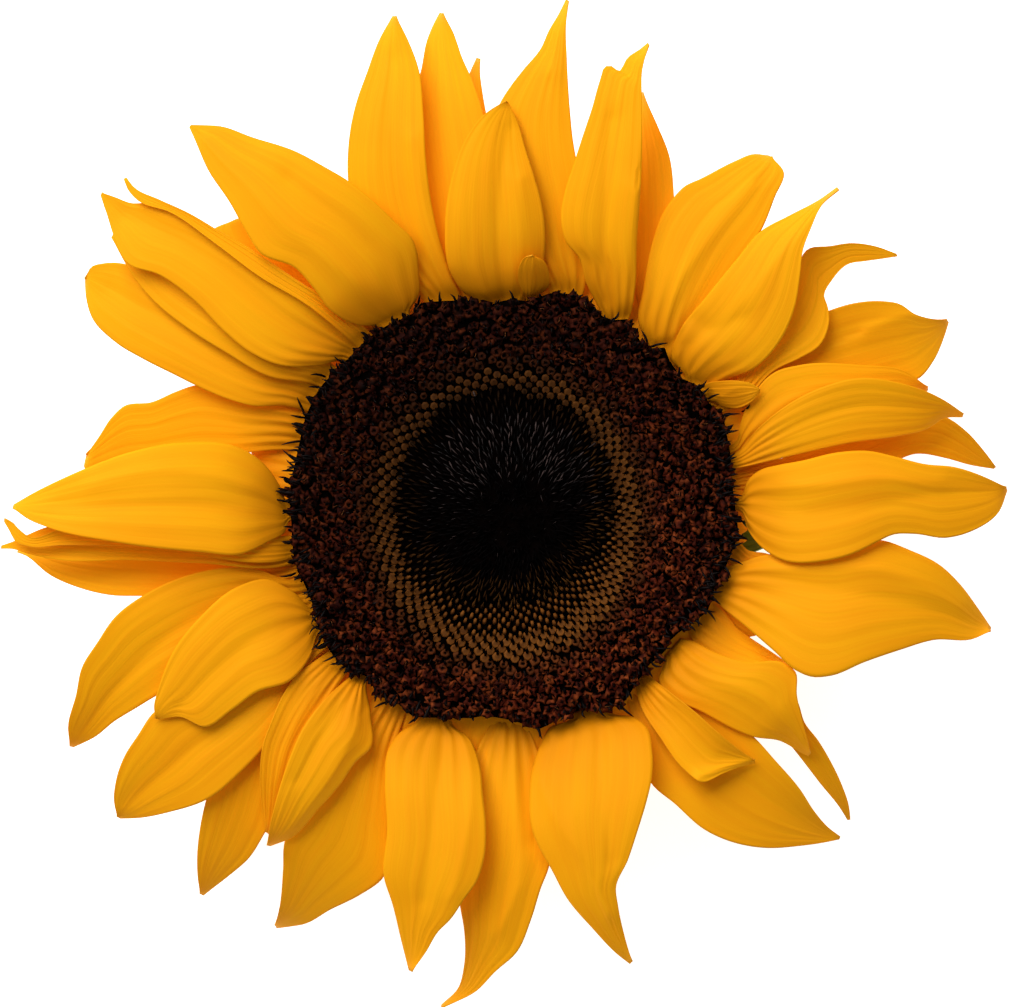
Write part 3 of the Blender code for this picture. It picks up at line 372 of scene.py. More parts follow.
def mesh_piece(name, points, faces, finish, slot, nodes, smooth=None, **values):
    """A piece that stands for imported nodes. Points are millimetres; values are numbers for each point,
    which its material reads as attributes; smooth says which faces are shaded smooth, all if None."""
    mesh = bpy.data.meshes.new(name)
    faces = np.asarray(faces, np.int32)
    corners = faces.shape[1]
    mesh.vertices.add(len(points))
    mesh.vertices.foreach_set("co", (points * METRES_PER_MM).astype(np.float32).ravel())
    mesh.loops.add(faces.size)
    mesh.loops.foreach_set("vertex_index", faces.ravel())
    mesh.polygons.add(len(faces))
    mesh.polygons.foreach_set("loop_start", np.arange(0, faces.size, corners, dtype=np.int32))
    mesh.update(calc_edges=True)
    shaded = np.ones(len(faces), bool) if smooth is None else smooth
    mesh.polygons.foreach_set("use_smooth", shaded)
    for key, value in values.items():
        kind, field = ("FLOAT", "value") if value.ndim == 1 else ("FLOAT_VECTOR", "vector")
        layer = mesh.attributes.new(key, kind, "POINT")
        layer.data.foreach_set(field, value.astype(np.float32).ravel())
    mesh.materials.append(finish)
    obj = bpy.data.objects.new(name, mesh)
    bpy.context.scene.collection.objects.link(obj)
    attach(obj, "root")
    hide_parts(*nodes)


def joined(parts):
    """Points, faces and point values of several parts as one: each part is (points, faces, values)."""
    starts = np.cumsum([0] + [len(part[0]) for part in parts[:-1]])
    points = np.concatenate([part[0] for part in parts])
    faces = np.concatenate([part[1] + start for part, start in zip(parts, starts)])
    values = {key: np.concatenate([part[2][key] for part in parts]) for key in parts[0][2]}
    return points, faces, values


def lofted(rings):
    """Points and triangles of a closed solid: rings of points joined in turn, with one more point in the
    middle of the first and of the last ring to close the ends. Rings run counterclockwise from above."""
    count, sides, _ = rings.shape
    index = np.arange(count * sides).reshape(count, sides)
    low, high = index[:-1], index[1:]
    low_next, high_next = np.roll(low, -1, 1), np.roll(high, -1, 1)
    first, last = count * sides, count * sides + 1
    start, end = index[0], index[-1]
    faces = np.concatenate([
        np.stack([low, low_next, high_next], 2).reshape(-1, 3),
        np.stack([low, high_next, high], 2).reshape(-1, 3),
        np.stack([np.full(sides, first), np.roll(start, -1), start], 1),
        np.stack([np.full(sides, last), end, np.roll(end, -1)], 1),
    ])
    points = np.concatenate([rings.reshape(-1, 3), [rings[0].mean(0), rings[-1].mean(0)]])
    return points, faces


def blade(top, thickness):
    """Points, triangles and their shading of a closed blade: the grid, the same grid moved back along
    its normals by the thickness at each point, and a wall round them."""
    along = np.gradient(top, axis=0)
    across = np.gradient(top, axis=1)
    normal = np.cross(across, along)
    normal /= np.linalg.norm(normal, axis=2, keepdims=True).clip(1e-9)
    bottom = top - normal * thickness[..., None]
    rows, columns, _ = top.shape
    count = rows * columns
    index = np.arange(count).reshape(rows, columns)
    a, b = index[:-1, :-1].ravel(), index[:-1, 1:].ravel()
    c, d = index[1:, 1:].ravel(), index[1:, :-1].ravel()
    upper = np.concatenate([np.stack([a, b, c], 1), np.stack([a, c, d], 1)])
    edge = np.concatenate([index[0, :], index[1:, -1], index[-1, -2::-1], index[-2:0:-1, 0]])
    after = np.roll(edge, -1)
    wall = np.concatenate([
        np.stack([after, edge, edge + count], 1),
        np.stack([after, edge + count, after + count], 1),
    ])
    faces = np.concatenate([upper, upper[:, ::-1] + count, wall])
    smooth = np.arange(len(faces)) < 2 * len(upper)
    return np.concatenate([top.reshape(-1, 3), bottom.reshape(-1, 3)]), faces, smooth


def smooth_curve(points, places):
    """Points at the given shares of a smooth curve's length: a cubic through the points, whose slope at
    each one is that of the parabola through it and its two neighbours."""
    points = np.asarray(points, float)
    steps = np.hypot(*np.diff(points, axis=0).T)
    knots = np.concatenate([[0], np.cumsum(steps)]) / steps.sum()
    slopes = np.gradient(points, knots, axis=0)
    segment = np.clip(np.searchsorted(knots, places, side="right") - 1, 0, len(knots) - 2)
    length = (knots[segment + 1] - knots[segment])[:, None]
    t = ((places - knots[segment]) / length[:, 0])[:, None]
    return (
        (2 * t**3 - 3 * t**2 + 1) * points[segment]
        + (t**3 - 2 * t**2 + t) * length * slopes[segment]
        + (3 * t**2 - 2 * t**3) * points[segment + 1]
        + (t**3 - t**2) * length * slopes[segment + 1]
    )


def root_points(left, right):
    """The petal's two root corners, under the rim of the disc: its base points turned towards each
    other and moved in to the root radius."""
    first, second = math.atan2(left[1], left[0]), math.atan2(right[1], right[0])
    half = (second - first + math.pi) % (2 * math.pi) - math.pi
    middle = first + half / 2
    half *= PETAL_ROOT_SPREAD / 2
    corners = [(math.cos(middle + turn), math.sin(middle + turn)) for turn in (-half, half)]
    return np.array(corners) * PETAL_ROOT_RADIUS


def petal_outline(petal, places):
    """The petal's left and right edges at the given shares of their length, in millimetres."""
    _, left, tip, right, _ = petal
    left, tip, right = placed(left), placed([tip])[0], placed(right)
    roots = root_points(left[0], right[0])
    across = right[-1] - left[-1]
    across *= PETAL_TIP_WIDTH / 2 / max(np.hypot(*across), PETAL_TIP_WIDTH)
    left = np.concatenate([roots[:1], left, [tip - across]])
    right = np.concatenate([roots[1:], right, [tip + across]])
    return smooth_curve(left, places), smooth_curve(right, places)


def fold_heights(name, flat):
    """Height of the petal's own folds at each point: a crisp ridge or furrow along each line, height
    exp(0.3 - sqrt((distance / width)^2 + 0.09)), that fades at the line's ends."""
    total = np.zeros(flat.shape[:2])
    for petal, line, height, left_width, right_width in FOLDS:
        if petal != name:
            continue
        line = smooth_curve(placed(line), np.linspace(0, 1, 9))
        nearest = np.full(total.shape, np.inf)
        width = np.ones(total.shape)
        for start, step in zip(line[:-1], np.diff(line, axis=0)):
            share = ((flat - start) @ step / (step @ step)).clip(0, 1)
            away = flat - start - share[..., None] * step
            distance = np.hypot(away[..., 0], away[..., 1])
            on_left = step[0] * away[..., 1] - step[1] * away[..., 0] > 0
            closer = distance < nearest
            nearest = np.where(closer, distance, nearest)
            width = np.where(closer, np.where(on_left, left_width, right_width), width)
        total += FOLD_SHARE * height * np.exp(0.3 - np.sqrt((nearest / width) ** 2 + 0.09))
    return total


def waves(u, v, chance):
    """Soft folds that every petal has: each edge waves on its own, deeper outwards; pleats spread from
    the base and fade; beside the base the shoulders bend down, and its middle is pinched in."""
    frequency = chance.uniform(0.8, 1.8, 2)
    phase = chance.uniform(0, 2 * math.pi, 2)
    depth = chance.uniform(0.08, 0.3, 2)
    side = np.where(v < 0, 0, 1)
    body = np.sin(math.pi * u.clip(0, 1)) ** 0.7
    edges = depth[side] * v**2 * np.sin(2 * math.pi * frequency[side] * u + phase[side]) * body
    pleats = 0.16 * np.cos(5 * math.pi * v + phase[0]) * np.exp(-(((u - 0.14) / 0.14) ** 2))
    shoulders = -0.5 * v**2 * np.exp(-(((u - 0.12) / 0.12) ** 2))
    pinch = -0.4 * np.exp(-((v / 0.2) ** 2) - (u / 0.16) ** 2)
    return edges + pleats + shoulders + pinch


def veins(u, v, chance):
    """Fine ridges along the petal: waves across it with 4, 7 and 11 crests, which wander sideways."""
    total = 0
    for crests, height in ((4.0, 0.028), (7.0, 0.022), (11.0, 0.014)):
        phase, wander = chance.uniform(0, 2 * math.pi, 2)
        shift = 0.05 * np.sin(2 * math.pi * u + wander)
        total = total + height * np.cos(math.pi * crests * (v + shift) + phase)
    return total * eased(u, 0.02, 0.12) * (1 - eased(u, 0.86, 1))


def petal_surface(petal, rank, chance):
    """The petal before it is laid on others: rows ruled from edge to edge, raised along it by
    rise (1 - exp(-s / RISE_WITHIN)) - droop u^3, where s is the length from the root; across it by
    edge sin(pi u) v^2 + tilt u v; and by its folds."""
    rise, droop, edge, tilt = petal[4]
    u = np.linspace(0, 1, PETAL_ROWS)[:, None]
    v = np.linspace(-1, 1, PETAL_COLUMNS)[None, :]
    left, right = petal_outline(petal, u[:, 0])
    share = (v[..., None] + 1) / 2
    flat = left[:, None] * (1 - share) + right[:, None] * share
    steps = np.hypot(*np.diff(left + right, axis=0).T) / 2
    length = np.concatenate([[0], np.cumsum(steps)])[:, None]
    root = PETAL_ROOT_LOW + (PETAL_ROOT_HIGH - PETAL_ROOT_LOW) * rank
    along = rise * (1 - np.exp(-length / RISE_WITHIN)) - droop * u**3
    across = edge * np.sin(math.pi * u) * v**2 + tilt * u * v
    height = root + along + across + waves(u, v, chance) + fold_heights(petal[0], flat)
    return np.concatenate([flat, height[..., None]], axis=2), u, v


def smoothed(values):
    """The values blurred along the petal, then raised until none is below what it was."""
    width = len(values) // 8
    kernel = np.hanning(2 * width + 3)[1:-1]
    padded = np.pad(values, width, mode="edge")
    blurred = np.convolve(padded, kernel / kernel.sum(), mode="valid")
    return blurred + max((values - blurred).max(), 0)


def lift_off(need):
    """How far each row and column is raised so that the petal clears what is under it: once lifted it
    stays lifted out to its tip, more on the side that needs more."""
    columns = need.shape[1]
    share = np.linspace(0, 1, columns)[None, :]
    left = smoothed(np.maximum.accumulate(need[:, : columns // 2 + 1].max(axis=1)))[:, None]
    right = smoothed(np.maximum.accumulate(need[:, columns // 2 :].max(axis=1)))[:, None]
    tilted = left * (1 - share) + right * share
    rest = smoothed(np.maximum.accumulate((need - tilted).max(axis=1).clip(0)))
    return tilted + rest[:, None]


def map_cells(points):
    """Row and column of the height map's cell under each point."""
    cells = np.floor(points[..., :2] / MAP_CELL).astype(int) + MAP_CELLS // 2
    return cells[..., 1].clip(1, MAP_CELLS - 2), cells[..., 0].clip(1, MAP_CELLS - 2)


def halved(grid):
    """The grid with the middle of each step put in, along its rows and then across them."""
    for axis in (0, 1):
        grid = np.moveaxis(grid, axis, 0)
        finer = np.empty((2 * len(grid) - 1, *grid.shape[1:]))
        finer[::2] = grid
        finer[1::2] = (grid[:-1] + grid[1:]) / 2
        grid = np.moveaxis(finer, 0, axis)
    return grid


def rounded_minimum(value, limit, reach):
    """The lower of the two, with the corner where they meet rounded off over the reach."""
    share = (0.5 + 0.5 * (limit - value) / reach).clip(0, 1)
    return limit * (1 - share) + value * share - reach * share * (1 - share)


def laid_petals():
    """Every petal as points, triangles and point values, each one lifted clear of those listed before
    it. A map of heights keeps the top of what is already laid. Towards the disc all of them are pressed
    under a ceiling that rises from its rim by CEILING_RISE (1 - (1 - distance / CEILING_WITHIN)^2) on
    the disc's bright side, and by the share CEILING_UNEVEN more on its dull side."""
    tops = np.zeros((MAP_CELLS, MAP_CELLS))
    laid = []
    for order, petal in enumerate([*LOWEST_PETALS, *PETALS, *HIGHEST_PETALS]):
        k = order - len(LOWEST_PETALS)
        chance = np.random.default_rng(abs(k))
        rank = min(max(k / (len(PETALS) - 1), 0), 1)
        grid, u, v = petal_surface(petal, rank, chance)
        rows, columns = map_cells(grid)
        beside = [tops[rows + i, columns + j] for i in (-1, 0, 1) for j in (-1, 0, 1)]
        past_rim = np.hypot(grid[..., 0], grid[..., 1]) - rim_radius(grid[..., 0], grid[..., 1])
        need = np.max(beside, axis=0) + PETAL_CLEARANCE + PETAL_ROOM - grid[..., 2]
        need = np.where(past_rim > 0, need, 0).clip(0)
        opened = CEILING_RISE * (1 - (1 - (past_rim / CEILING_WITHIN).clip(0, 1)) ** 2)
        opened *= 1 + CEILING_UNEVEN * (1 - facing(grid[..., 0], grid[..., 1]))
        ceiling = CEILING_LOW + CEILING_STEP * rank + opened
        grid[..., 2] += lift_off(need) * eased(past_rim, LIFT_FROM, LIFT_FULL)
        grid[..., 2] = rounded_minimum(grid[..., 2], ceiling, CEILING_ROUNDING)
        finer = halved(halved(grid))
        np.maximum.at(tops, map_cells(finer), finer[..., 2])
        grid[..., 2] += veins(u, v, chance)
        outward = 1 - v**6 + 0 * u
        thickness = PETAL_EDGE_THICKNESS + (PETAL_THICKNESS - PETAL_EDGE_THICKNESS) * outward
        points, faces, smooth = blade(drawn_in(grid), thickness)
        place = np.stack([u + 0 * v, v + 0 * u, np.full(past_rim.shape, k / 7)], 2).reshape(-1, 3)
        # More orange and darker towards the disc: partly the petal's own orange base, partly painted shade.
        base = 1 - eased(past_rim, 0, PETAL_BASE_LENGTH).ravel()
        under = np.repeat([0.0, 1.0], past_rim.size)
        values = {"place": np.tile(place, (2, 1)), "base": np.tile(base, 2), "under": under}
        laid.append((points, faces, smooth, values))
    return laid


def petal_collar(finish):
    """The crowded bases of the petals, seen as pleats in the gaps between them: a ring that falls from
    the rim of the disc outwards in 120 pleats, and stops short where the picture shows the green."""
    angles = np.linspace(0, 2 * math.pi, COLLAR_STEPS + 1)[:-1]
    x, y = np.cos(angles), np.sin(angles)
    chance = np.random.default_rng(COLLAR_SEED)
    wander = np.cumsum(chance.uniform(0.6, 1.4, COLLAR_STEPS))
    pleat = np.cos(COLLAR_PLEATS * 2 * math.pi * wander / wander[-1])
    notch = placed([COLLAR_NOTCH])[0]
    away = np.abs((angles - math.atan2(notch[1], notch[0]) + math.pi) % (2 * math.pi) - math.pi)
    reach = COLLAR_REACH + COLLAR_PLEAT_REACH * pleat
    reach -= (COLLAR_REACH - COLLAR_NOTCH_REACH) * (1 - eased(away, 0.06, 0.14))
    upper, lower = [], []
    for share in np.linspace(0, 1, COLLAR_ROWS):
        radius = COLLAR_INNER + (reach - COLLAR_INNER) * share
        height = COLLAR_TOP - COLLAR_FALL * share**2 + COLLAR_PLEAT_HEIGHT * pleat * share
        upper.append(np.stack([x * radius, y * radius, height], 1))
        lower.append(np.stack([x * radius, y * radius, height - COLLAR_THICKNESS], 1))
    rings = np.array(upper + lower[::-1])
    count = len(rings)
    index = np.arange(count * COLLAR_STEPS).reshape(count, COLLAR_STEPS)
    low, high = index, np.roll(index, -1, 0)
    low_next, high_next = np.roll(low, -1, 1), np.roll(high, -1, 1)
    faces = np.concatenate([
        np.stack([low, high_next, low_next], 2).reshape(-1, 3),
        np.stack([low, high, high_next], 2).reshape(-1, 3),
    ])
    points = rings.reshape(-1, 3)
    outwards = np.linspace(0, 0.3, COLLAR_ROWS)
    along = np.repeat(np.concatenate([outwards, outwards[::-1]]), COLLAR_STEPS)
    place = np.stack([along, np.tile(12 * angles, count), 0 * along], 1)
    # Painted shade in the gaps between the petals, deeper on the disc's shaded side.
    base = 0.9 - 0.5 * facing(points[:, 0], points[:, 1])
    values = {"place": place, "base": base, "under": 0 * along}
    mesh_piece("petal_collar", points, faces, finish, "petal", ["ray_petals"], **values)


def petals(finish):
    """The petals in three pieces, back, middle and front, in the order that they are laid in."""
    laid = laid_petals()
    ends = [0, *PETAL_GROUP_ENDS, len(laid)]
    for name, start, end in zip(("petals_back", "petals_middle", "petals_front"), ends, ends[1:]):
        group = laid[start:end]
        points, faces, values = joined([(part[0], part[1], part[3]) for part in group])
        smooth = np.concatenate([part[2] for part in group])
        mesh_piece(name, points, faces, finish, "petal", ["ray_petals"], smooth, **values)


def floret_places(chance):
    """Places of all the florets: k of them stand inside the radius at which the area divided by their
    spacing squared adds up to k, each is turned by the golden angle from the one before, and each is
    moved a little by a seeded draw."""
    radius = np.linspace(0, FLORETS_REACH, 1500)
    spacing = np.interp(radius, (0, 10, 15, 18, 21, 24, FLORETS_REACH),
                        (0.74, 0.82, 1.0, 1.18, 1.3, 1.58, 1.74))
    area = 2 * math.pi * radius / spacing**2
    count = np.concatenate([[0], np.cumsum((area[1:] + area[:-1]) / 2 * np.diff(radius))])
    k = np.arange(1, int(count[-1]))
    r = np.interp(k, count, radius)
    loose = np.interp(r, (0, 5, 8, 14, 16, 21, 24, 38), (0.35, 0.35, 0.14, 0.1, 0.04, 0.04, 0.14, 0.2))
    x = r * np.cos(k * GOLDEN_ANGLE) + loose * chance.normal(0, 1, len(k))
    y = r * np.sin(k * GOLDEN_ANGLE) + loose * chance.normal(0, 1, len(k))
    return x, y


def ring_share(x, y):
    """1 on the outer edge of the golden ring, which is an oval, and less inside it."""
    middle = placed([RING_MIDDLE])[0]
    across = (x - middle[0]) / (RING_HALF_WIDTH * MM_PER_POINT)
    along = (y - middle[1]) / (RING_HALF_HEIGHT * MM_PER_POINT)
    return np.hypot(across, along)


def disc_height(radius):
    """Height of the florets' mouths: a dip in the middle, the golden ring, and a wreath of open florets
    that rises outwards and rounds off at the rim."""
    return np.interp(radius, (0, 5, 10, 15, 18, 21, 24, 28, 32, 35, 38),
                     (22.3, 22.4, 22.6, 22.7, 22.8, 23.0, 23.5, 24.0, 24.2, 23.8, 22.6))


def facing(x, y):
    """1 on the side of the disc that the picture shows brightest, below right, and 0 across from it."""
    return 0.5 + 0.5 * np.cos(np.arctan2(y, x) - BRIGHT_SIDE)


def northward(x, y):
    """1 at the top of the picture's disc, 0 at its bottom."""
    return 0.5 + 0.5 * np.sin(np.arctan2(y, x))


def ring_inner_edge(x, y):
    """Where the golden ring begins, as a share of its outer edge: it is narrow at the top of the disc and
    reaches further in at the bottom."""
    return RING_BUTTONS_FROM - RING_DEEPER * (1 - northward(x, y)) ** 2


def disc_bed(finish):
    """The dark ground that the florets stand on: rings of points from its floor up round the rim and in
    to the middle, a little below the florets' mouths."""
    angles = np.arange(BED_SIDES) * 2 * math.pi / BED_SIDES
    x, y = np.cos(angles), np.sin(angles)
    rim = rim_radius(x, y) - 0.5
    rings = [np.stack([x * (rim - 1.2), y * (rim - 1.2), np.full(BED_SIDES, BED_FLOOR)], 1)]
    for share, drop in ((0.985, 1.9), (1.0, 1.2), (0.97, 0.9)):
        rings.append(np.stack([x * rim * share, y * rim * share, disc_height(rim * share) - drop], 1))
    for share in np.linspace(0.92, 0.02, 24):
        rings.append(np.stack([x * rim * share, y * rim * share, disc_height(rim * share) - BED_DEPTH], 1))
    points, faces = lofted(np.array(rings))
    nodes = ["outer_disc_florets", "ring_disc_florets", "centre_disc_florets"]
    mesh_piece("disc_bed", points, faces, finish, "dark_bud", nodes)


def scattered(template, x, y, z, tilt, spin, size, **own):
    """Copies of a template of points, triangles and tone: each is scaled by its size, turned by spin
    about its own axis, leaned away from the disc's middle by tilt, and set down at x, y, z. Own values
    are numbers for each copy."""
    points, faces, tone = template
    heading = np.arctan2(y, x)
    cos_h, sin_h = np.cos(heading), np.sin(heading)
    cos_t, sin_t = np.cos(tilt), np.sin(tilt)
    cos_s, sin_s = np.cos(spin), np.sin(spin)
    zero, one = np.zeros(len(x)), np.ones(len(x))
    turn = np.stack([cos_h, -sin_h, zero, sin_h, cos_h, zero, zero, zero, one], 1).reshape(-1, 3, 3)
    lean = np.stack([cos_t, zero, sin_t, zero, one, zero, -sin_t, zero, cos_t], 1).reshape(-1, 3, 3)
    roll = np.stack([cos_s, -sin_s, zero, sin_s, cos_s, zero, zero, zero, one], 1).reshape(-1, 3, 3)
    copies = (turn @ lean @ roll) @ (points.T * size[:, None, None])
    copies = copies.transpose(0, 2, 1) + np.stack([x, y, z], 1)[:, None]
    starts = (np.arange(len(x)) * len(points))[:, None, None]
    values = {"tone": np.tile(tone, len(x))}
    for key, value in own.items():
        values[key] = np.repeat(value, len(points))
    return copies.reshape(-1, 3), (faces + starts).reshape(-1, 3), values


def turned(profile, sides):
    """A template turned about its own axis: rings of (radius, height, tone) in turn. Where a ring is given
    three more numbers, every second one of its points has that radius, height and tone."""
    angles = np.arange(sides) * 2 * math.pi / sides
    rings, tones = [], []
    for ring in profile:
        pair = np.array([ring[:3], ring[3:] or ring[:3]])[np.arange(sides) % 2]
        rings.append(np.stack([pair[:, 0] * np.cos(angles), pair[:, 0] * np.sin(angles), pair[:, 1]], 1))
        tones.append(pair[:, 2])
    points, faces = lofted(np.array(rings))
    tones = np.concatenate([*tones, [profile[0][2], profile[-1][2]]])
    return points, faces, tones


def tube(path, radii, sides, flat=1.0):
    """A template along a curved path: a ring of points square to the path at each of its points, closed
    at both ends; flat below 1 squeezes the rings towards the path's own plane. Tone runs 0 to 1."""
    path = np.asarray(path, float)
    ahead = np.gradient(path, axis=0)
    ahead /= np.linalg.norm(ahead, axis=1, keepdims=True)
    side = np.cross(ahead, (0, 1, 0))
    side /= np.linalg.norm(side, axis=1, keepdims=True)
    other = np.cross(ahead, side)
    angles = np.arange(sides) * 2 * math.pi / sides
    radii = np.asarray(radii, float)[:, None, None]
    ring = side[:, None] * np.cos(angles)[:, None] + other[:, None] * np.sin(angles)[:, None] * flat
    points, faces = lofted(path[:, None] + ring * radii)
    tone = np.repeat(np.linspace(0, 1, len(path)), sides)
    return points, faces, np.concatenate([tone, [0, 1]])


def merged(*templates):
    """Several templates as one."""
    starts = np.cumsum([0] + [len(part[0]) for part in templates[:-1]])
    return (
        np.concatenate([part[0] for part in templates]),
        np.concatenate([part[1] + start for part, start in zip(templates, starts)]),
        np.concatenate([part[2] for part in templates]),
    )


def crumpled(template, amount, chance):
    """The template with every point moved by a random step, so that no two lobes are alike."""
    points, faces, tone = template
    return points + chance.normal(0, amount, points.shape), faces, tone


def open_floret(reach, curl, mouth):
    """A five-lobed floret that has opened: broad lobes that bend back round a mouth of that radius, and in
    it the dark column of anthers; its tones paint light on the lobes' tops and shade down in the mouth."""
    lobes = turned((
        (0.34, -1.3, 0.0, 0.34, -1.3, 0.0),
        (reach, -0.42 - curl, 0.4, 0.7, -0.5, 0.15),
        (0.98 * reach, -0.26 - curl, 0.95, 0.68, -0.34, 0.45),
        (0.66, 0.02, 1.0, 0.52, -0.05, 0.8),
        (mouth + 0.08, 0.05, 0.6, mouth + 0.05, 0.02, 0.45),
        (mouth, -0.5, 0.0, mouth, -0.5, 0.0),
    ), 10)
    anthers = turned(((0.18, -0.6, 0.0), (0.18, -0.05, 0.0), (0.07, 0.12, 0.2)), 4)
    return merged(lobes, anthers)


def stigma():
    """The two arms of a style, curled back on both sides."""
    turn = np.linspace(0, 1.25 * math.pi, 5)
    arms = []
    for way in (1, -1):
        path = np.stack([way * 0.26 * (1 - np.cos(turn)), 0 * turn, 0.45 + 0.3 * np.sin(turn)], 1)
        arms.append(tube(path, (0.07, 0.075, 0.07, 0.06, 0.03), 3))
    return merged(*arms)


def open_florets(finish, stigma_finish, places, chance):
    """The open florets in twelve crumpled shapes, leaning every way and on the whole in towards the
    middle, those just outside the golden ring still short round cups, and stigmas on some of them."""
    x, y, radius, share = places
    kept = (share > 1.0) & (radius < rim_radius(x, y) - FLORET_RIM_GAP)
    x, y, radius, share = x[kept], y[kept], radius[kept], share[kept]
    count = len(x)
    # The cups' tones paint light on their rims and shade down into their mouths.
    cup = turned(((0.5, -1.2, 0.0), (0.92, -0.36, 0.45), (0.92, -0.12, 0.8), (0.6, 0.0, 1.0),
                  (0.34, -0.04, 0.6), (0.24, -0.4, 0.0)), 7)
    shapes = [crumpled(cup, 0.1, chance) for _ in range(4)]
    lobed = ((1.14, 0.1, 0.32), (1.0, -0.12, 0.24), (1.26, 0.35, 0.36), (1.05, 0.0, 0.18))
    for reach, curl, mouth in lobed:
        shapes += [crumpled(open_floret(reach, curl, mouth), 0.13, chance) for _ in range(3)]
    old = eased(share + chance.normal(0, 0.05, count), 1.02, 1.22)
    kind = np.where(old > 0.5, chance.integers(4, len(shapes), count), chance.integers(0, 4, count))
    height = disc_height(radius) - 0.15 * (1 - old)
    height += chance.uniform(-0.5, 0.45, count) * (0.2 + 0.8 * old)
    tilt = np.interp(radius, (20, 30, 34, 37), (-0.28, -0.22, 0.05, 0.6)) + chance.normal(0, 0.12, count)
    tilt += chance.normal(0, 0.4, count) * old
    size = chance.uniform(0.85, 1.2, count) * (0.85 + 0.15 * eased(share, 1.0, 1.25))
    spin = chance.uniform(0, 2 * math.pi, count)
    shade = chance.uniform(0, 1, count)
    young = 1 - eased(share, 1.0, 1.2)
    # bright also paints shade on the disc's shaded side, through the floret finish.
    bright = facing(x, y)
    parts = []
    for k, shape in enumerate(shapes):
        m = kind == k
        parts.append(scattered(shape, x[m], y[m], height[m], tilt[m], spin[m], size[m],
                               shade=shade[m], young=young[m], bright=bright[m]))
    points, faces, values = joined(parts)
    mesh_piece("open_florets", points, faces, finish, "open_floret", ["outer_disc_florets"], **values)
    m = (chance.uniform(0, 1, count) < 0.2) & (share > 1.1)
    points, faces, values = scattered(stigma(), x[m], y[m], height[m] - 0.12, tilt[m], spin[m],
                                      0.7 * size[m])
    mesh_piece("stigmas", points, faces, stigma_finish, "open_floret", ["outer_disc_florets"], **values)


def ring_buds(finish, places, chance):
    """The golden ring of buds about to open: flat round buttons that touch and overlap, and further in
    the younger buds, drawn out towards the middle like tadpoles, with dark gaps between them."""
    x, y, radius, share = places
    # bright sizes the buds and, through the bud finish, paints shade on the disc's shaded side.
    bright = facing(x, y)
    edge = ring_inner_edge(x, y) + chance.normal(0, 0.025, len(x))
    kept = (share > edge) & (share <= 1.0)
    x, y, radius, share, bright = x[kept], y[kept], radius[kept], share[kept], bright[kept]
    grown = eased(share, edge[kept], edge[kept] + 0.1)
    count = len(x)
    # The buttons' and tadpoles' tones paint light on their tops and shade down their sides.
    button = turned(((0.5, -0.9, 0.0), (0.74, -0.34, 0.4), (0.78, -0.14, 0.9), (0.6, -0.02, 1.0),
                     (0.26, -0.02, 0.74)), 7)
    tadpole = tube([(0.42, 0, -0.8), (0.4, 0, -0.2), (0.14, 0, 0.02), (-0.36, 0, 0.08), (-0.95, 0, 0.02)],
                   (0.28, 0.38, 0.32, 0.18, 0.08), 5)
    tadpole = (tadpole[0], tadpole[1], 0.55 + 0.45 * (tadpole[0][:, 2] > -0.1))
    round_ones = share + chance.normal(0, 0.02, count) > RING_BUTTONS_FROM
    height = disc_height(radius) - 0.15 - 0.2 * (1 - grown) + chance.uniform(-0.06, 0.06, count)
    size = (0.8 + 0.2 * grown) * chance.uniform(0.93, 1.07, count) * (0.88 + 0.12 * bright)
    tilt = -0.22 + chance.normal(0, 0.08, count)
    spin = np.where(round_ones, chance.uniform(0, 2 * math.pi, count), chance.normal(0, 0.12, count))
    shade = chance.uniform(0, 1, count)
    parts = []
    for shape, m in ((button, round_ones), (tadpole, ~round_ones)):
        parts.append(scattered(shape, x[m], y[m], height[m], tilt[m], spin[m], size[m],
                               bright=bright[m], shade=shade[m], grown=grown[m]))
    points, faces, values = joined(parts)
    mesh_piece("ring_buds", points, faces, finish, "floret_bud", ["ring_disc_florets"], **values)


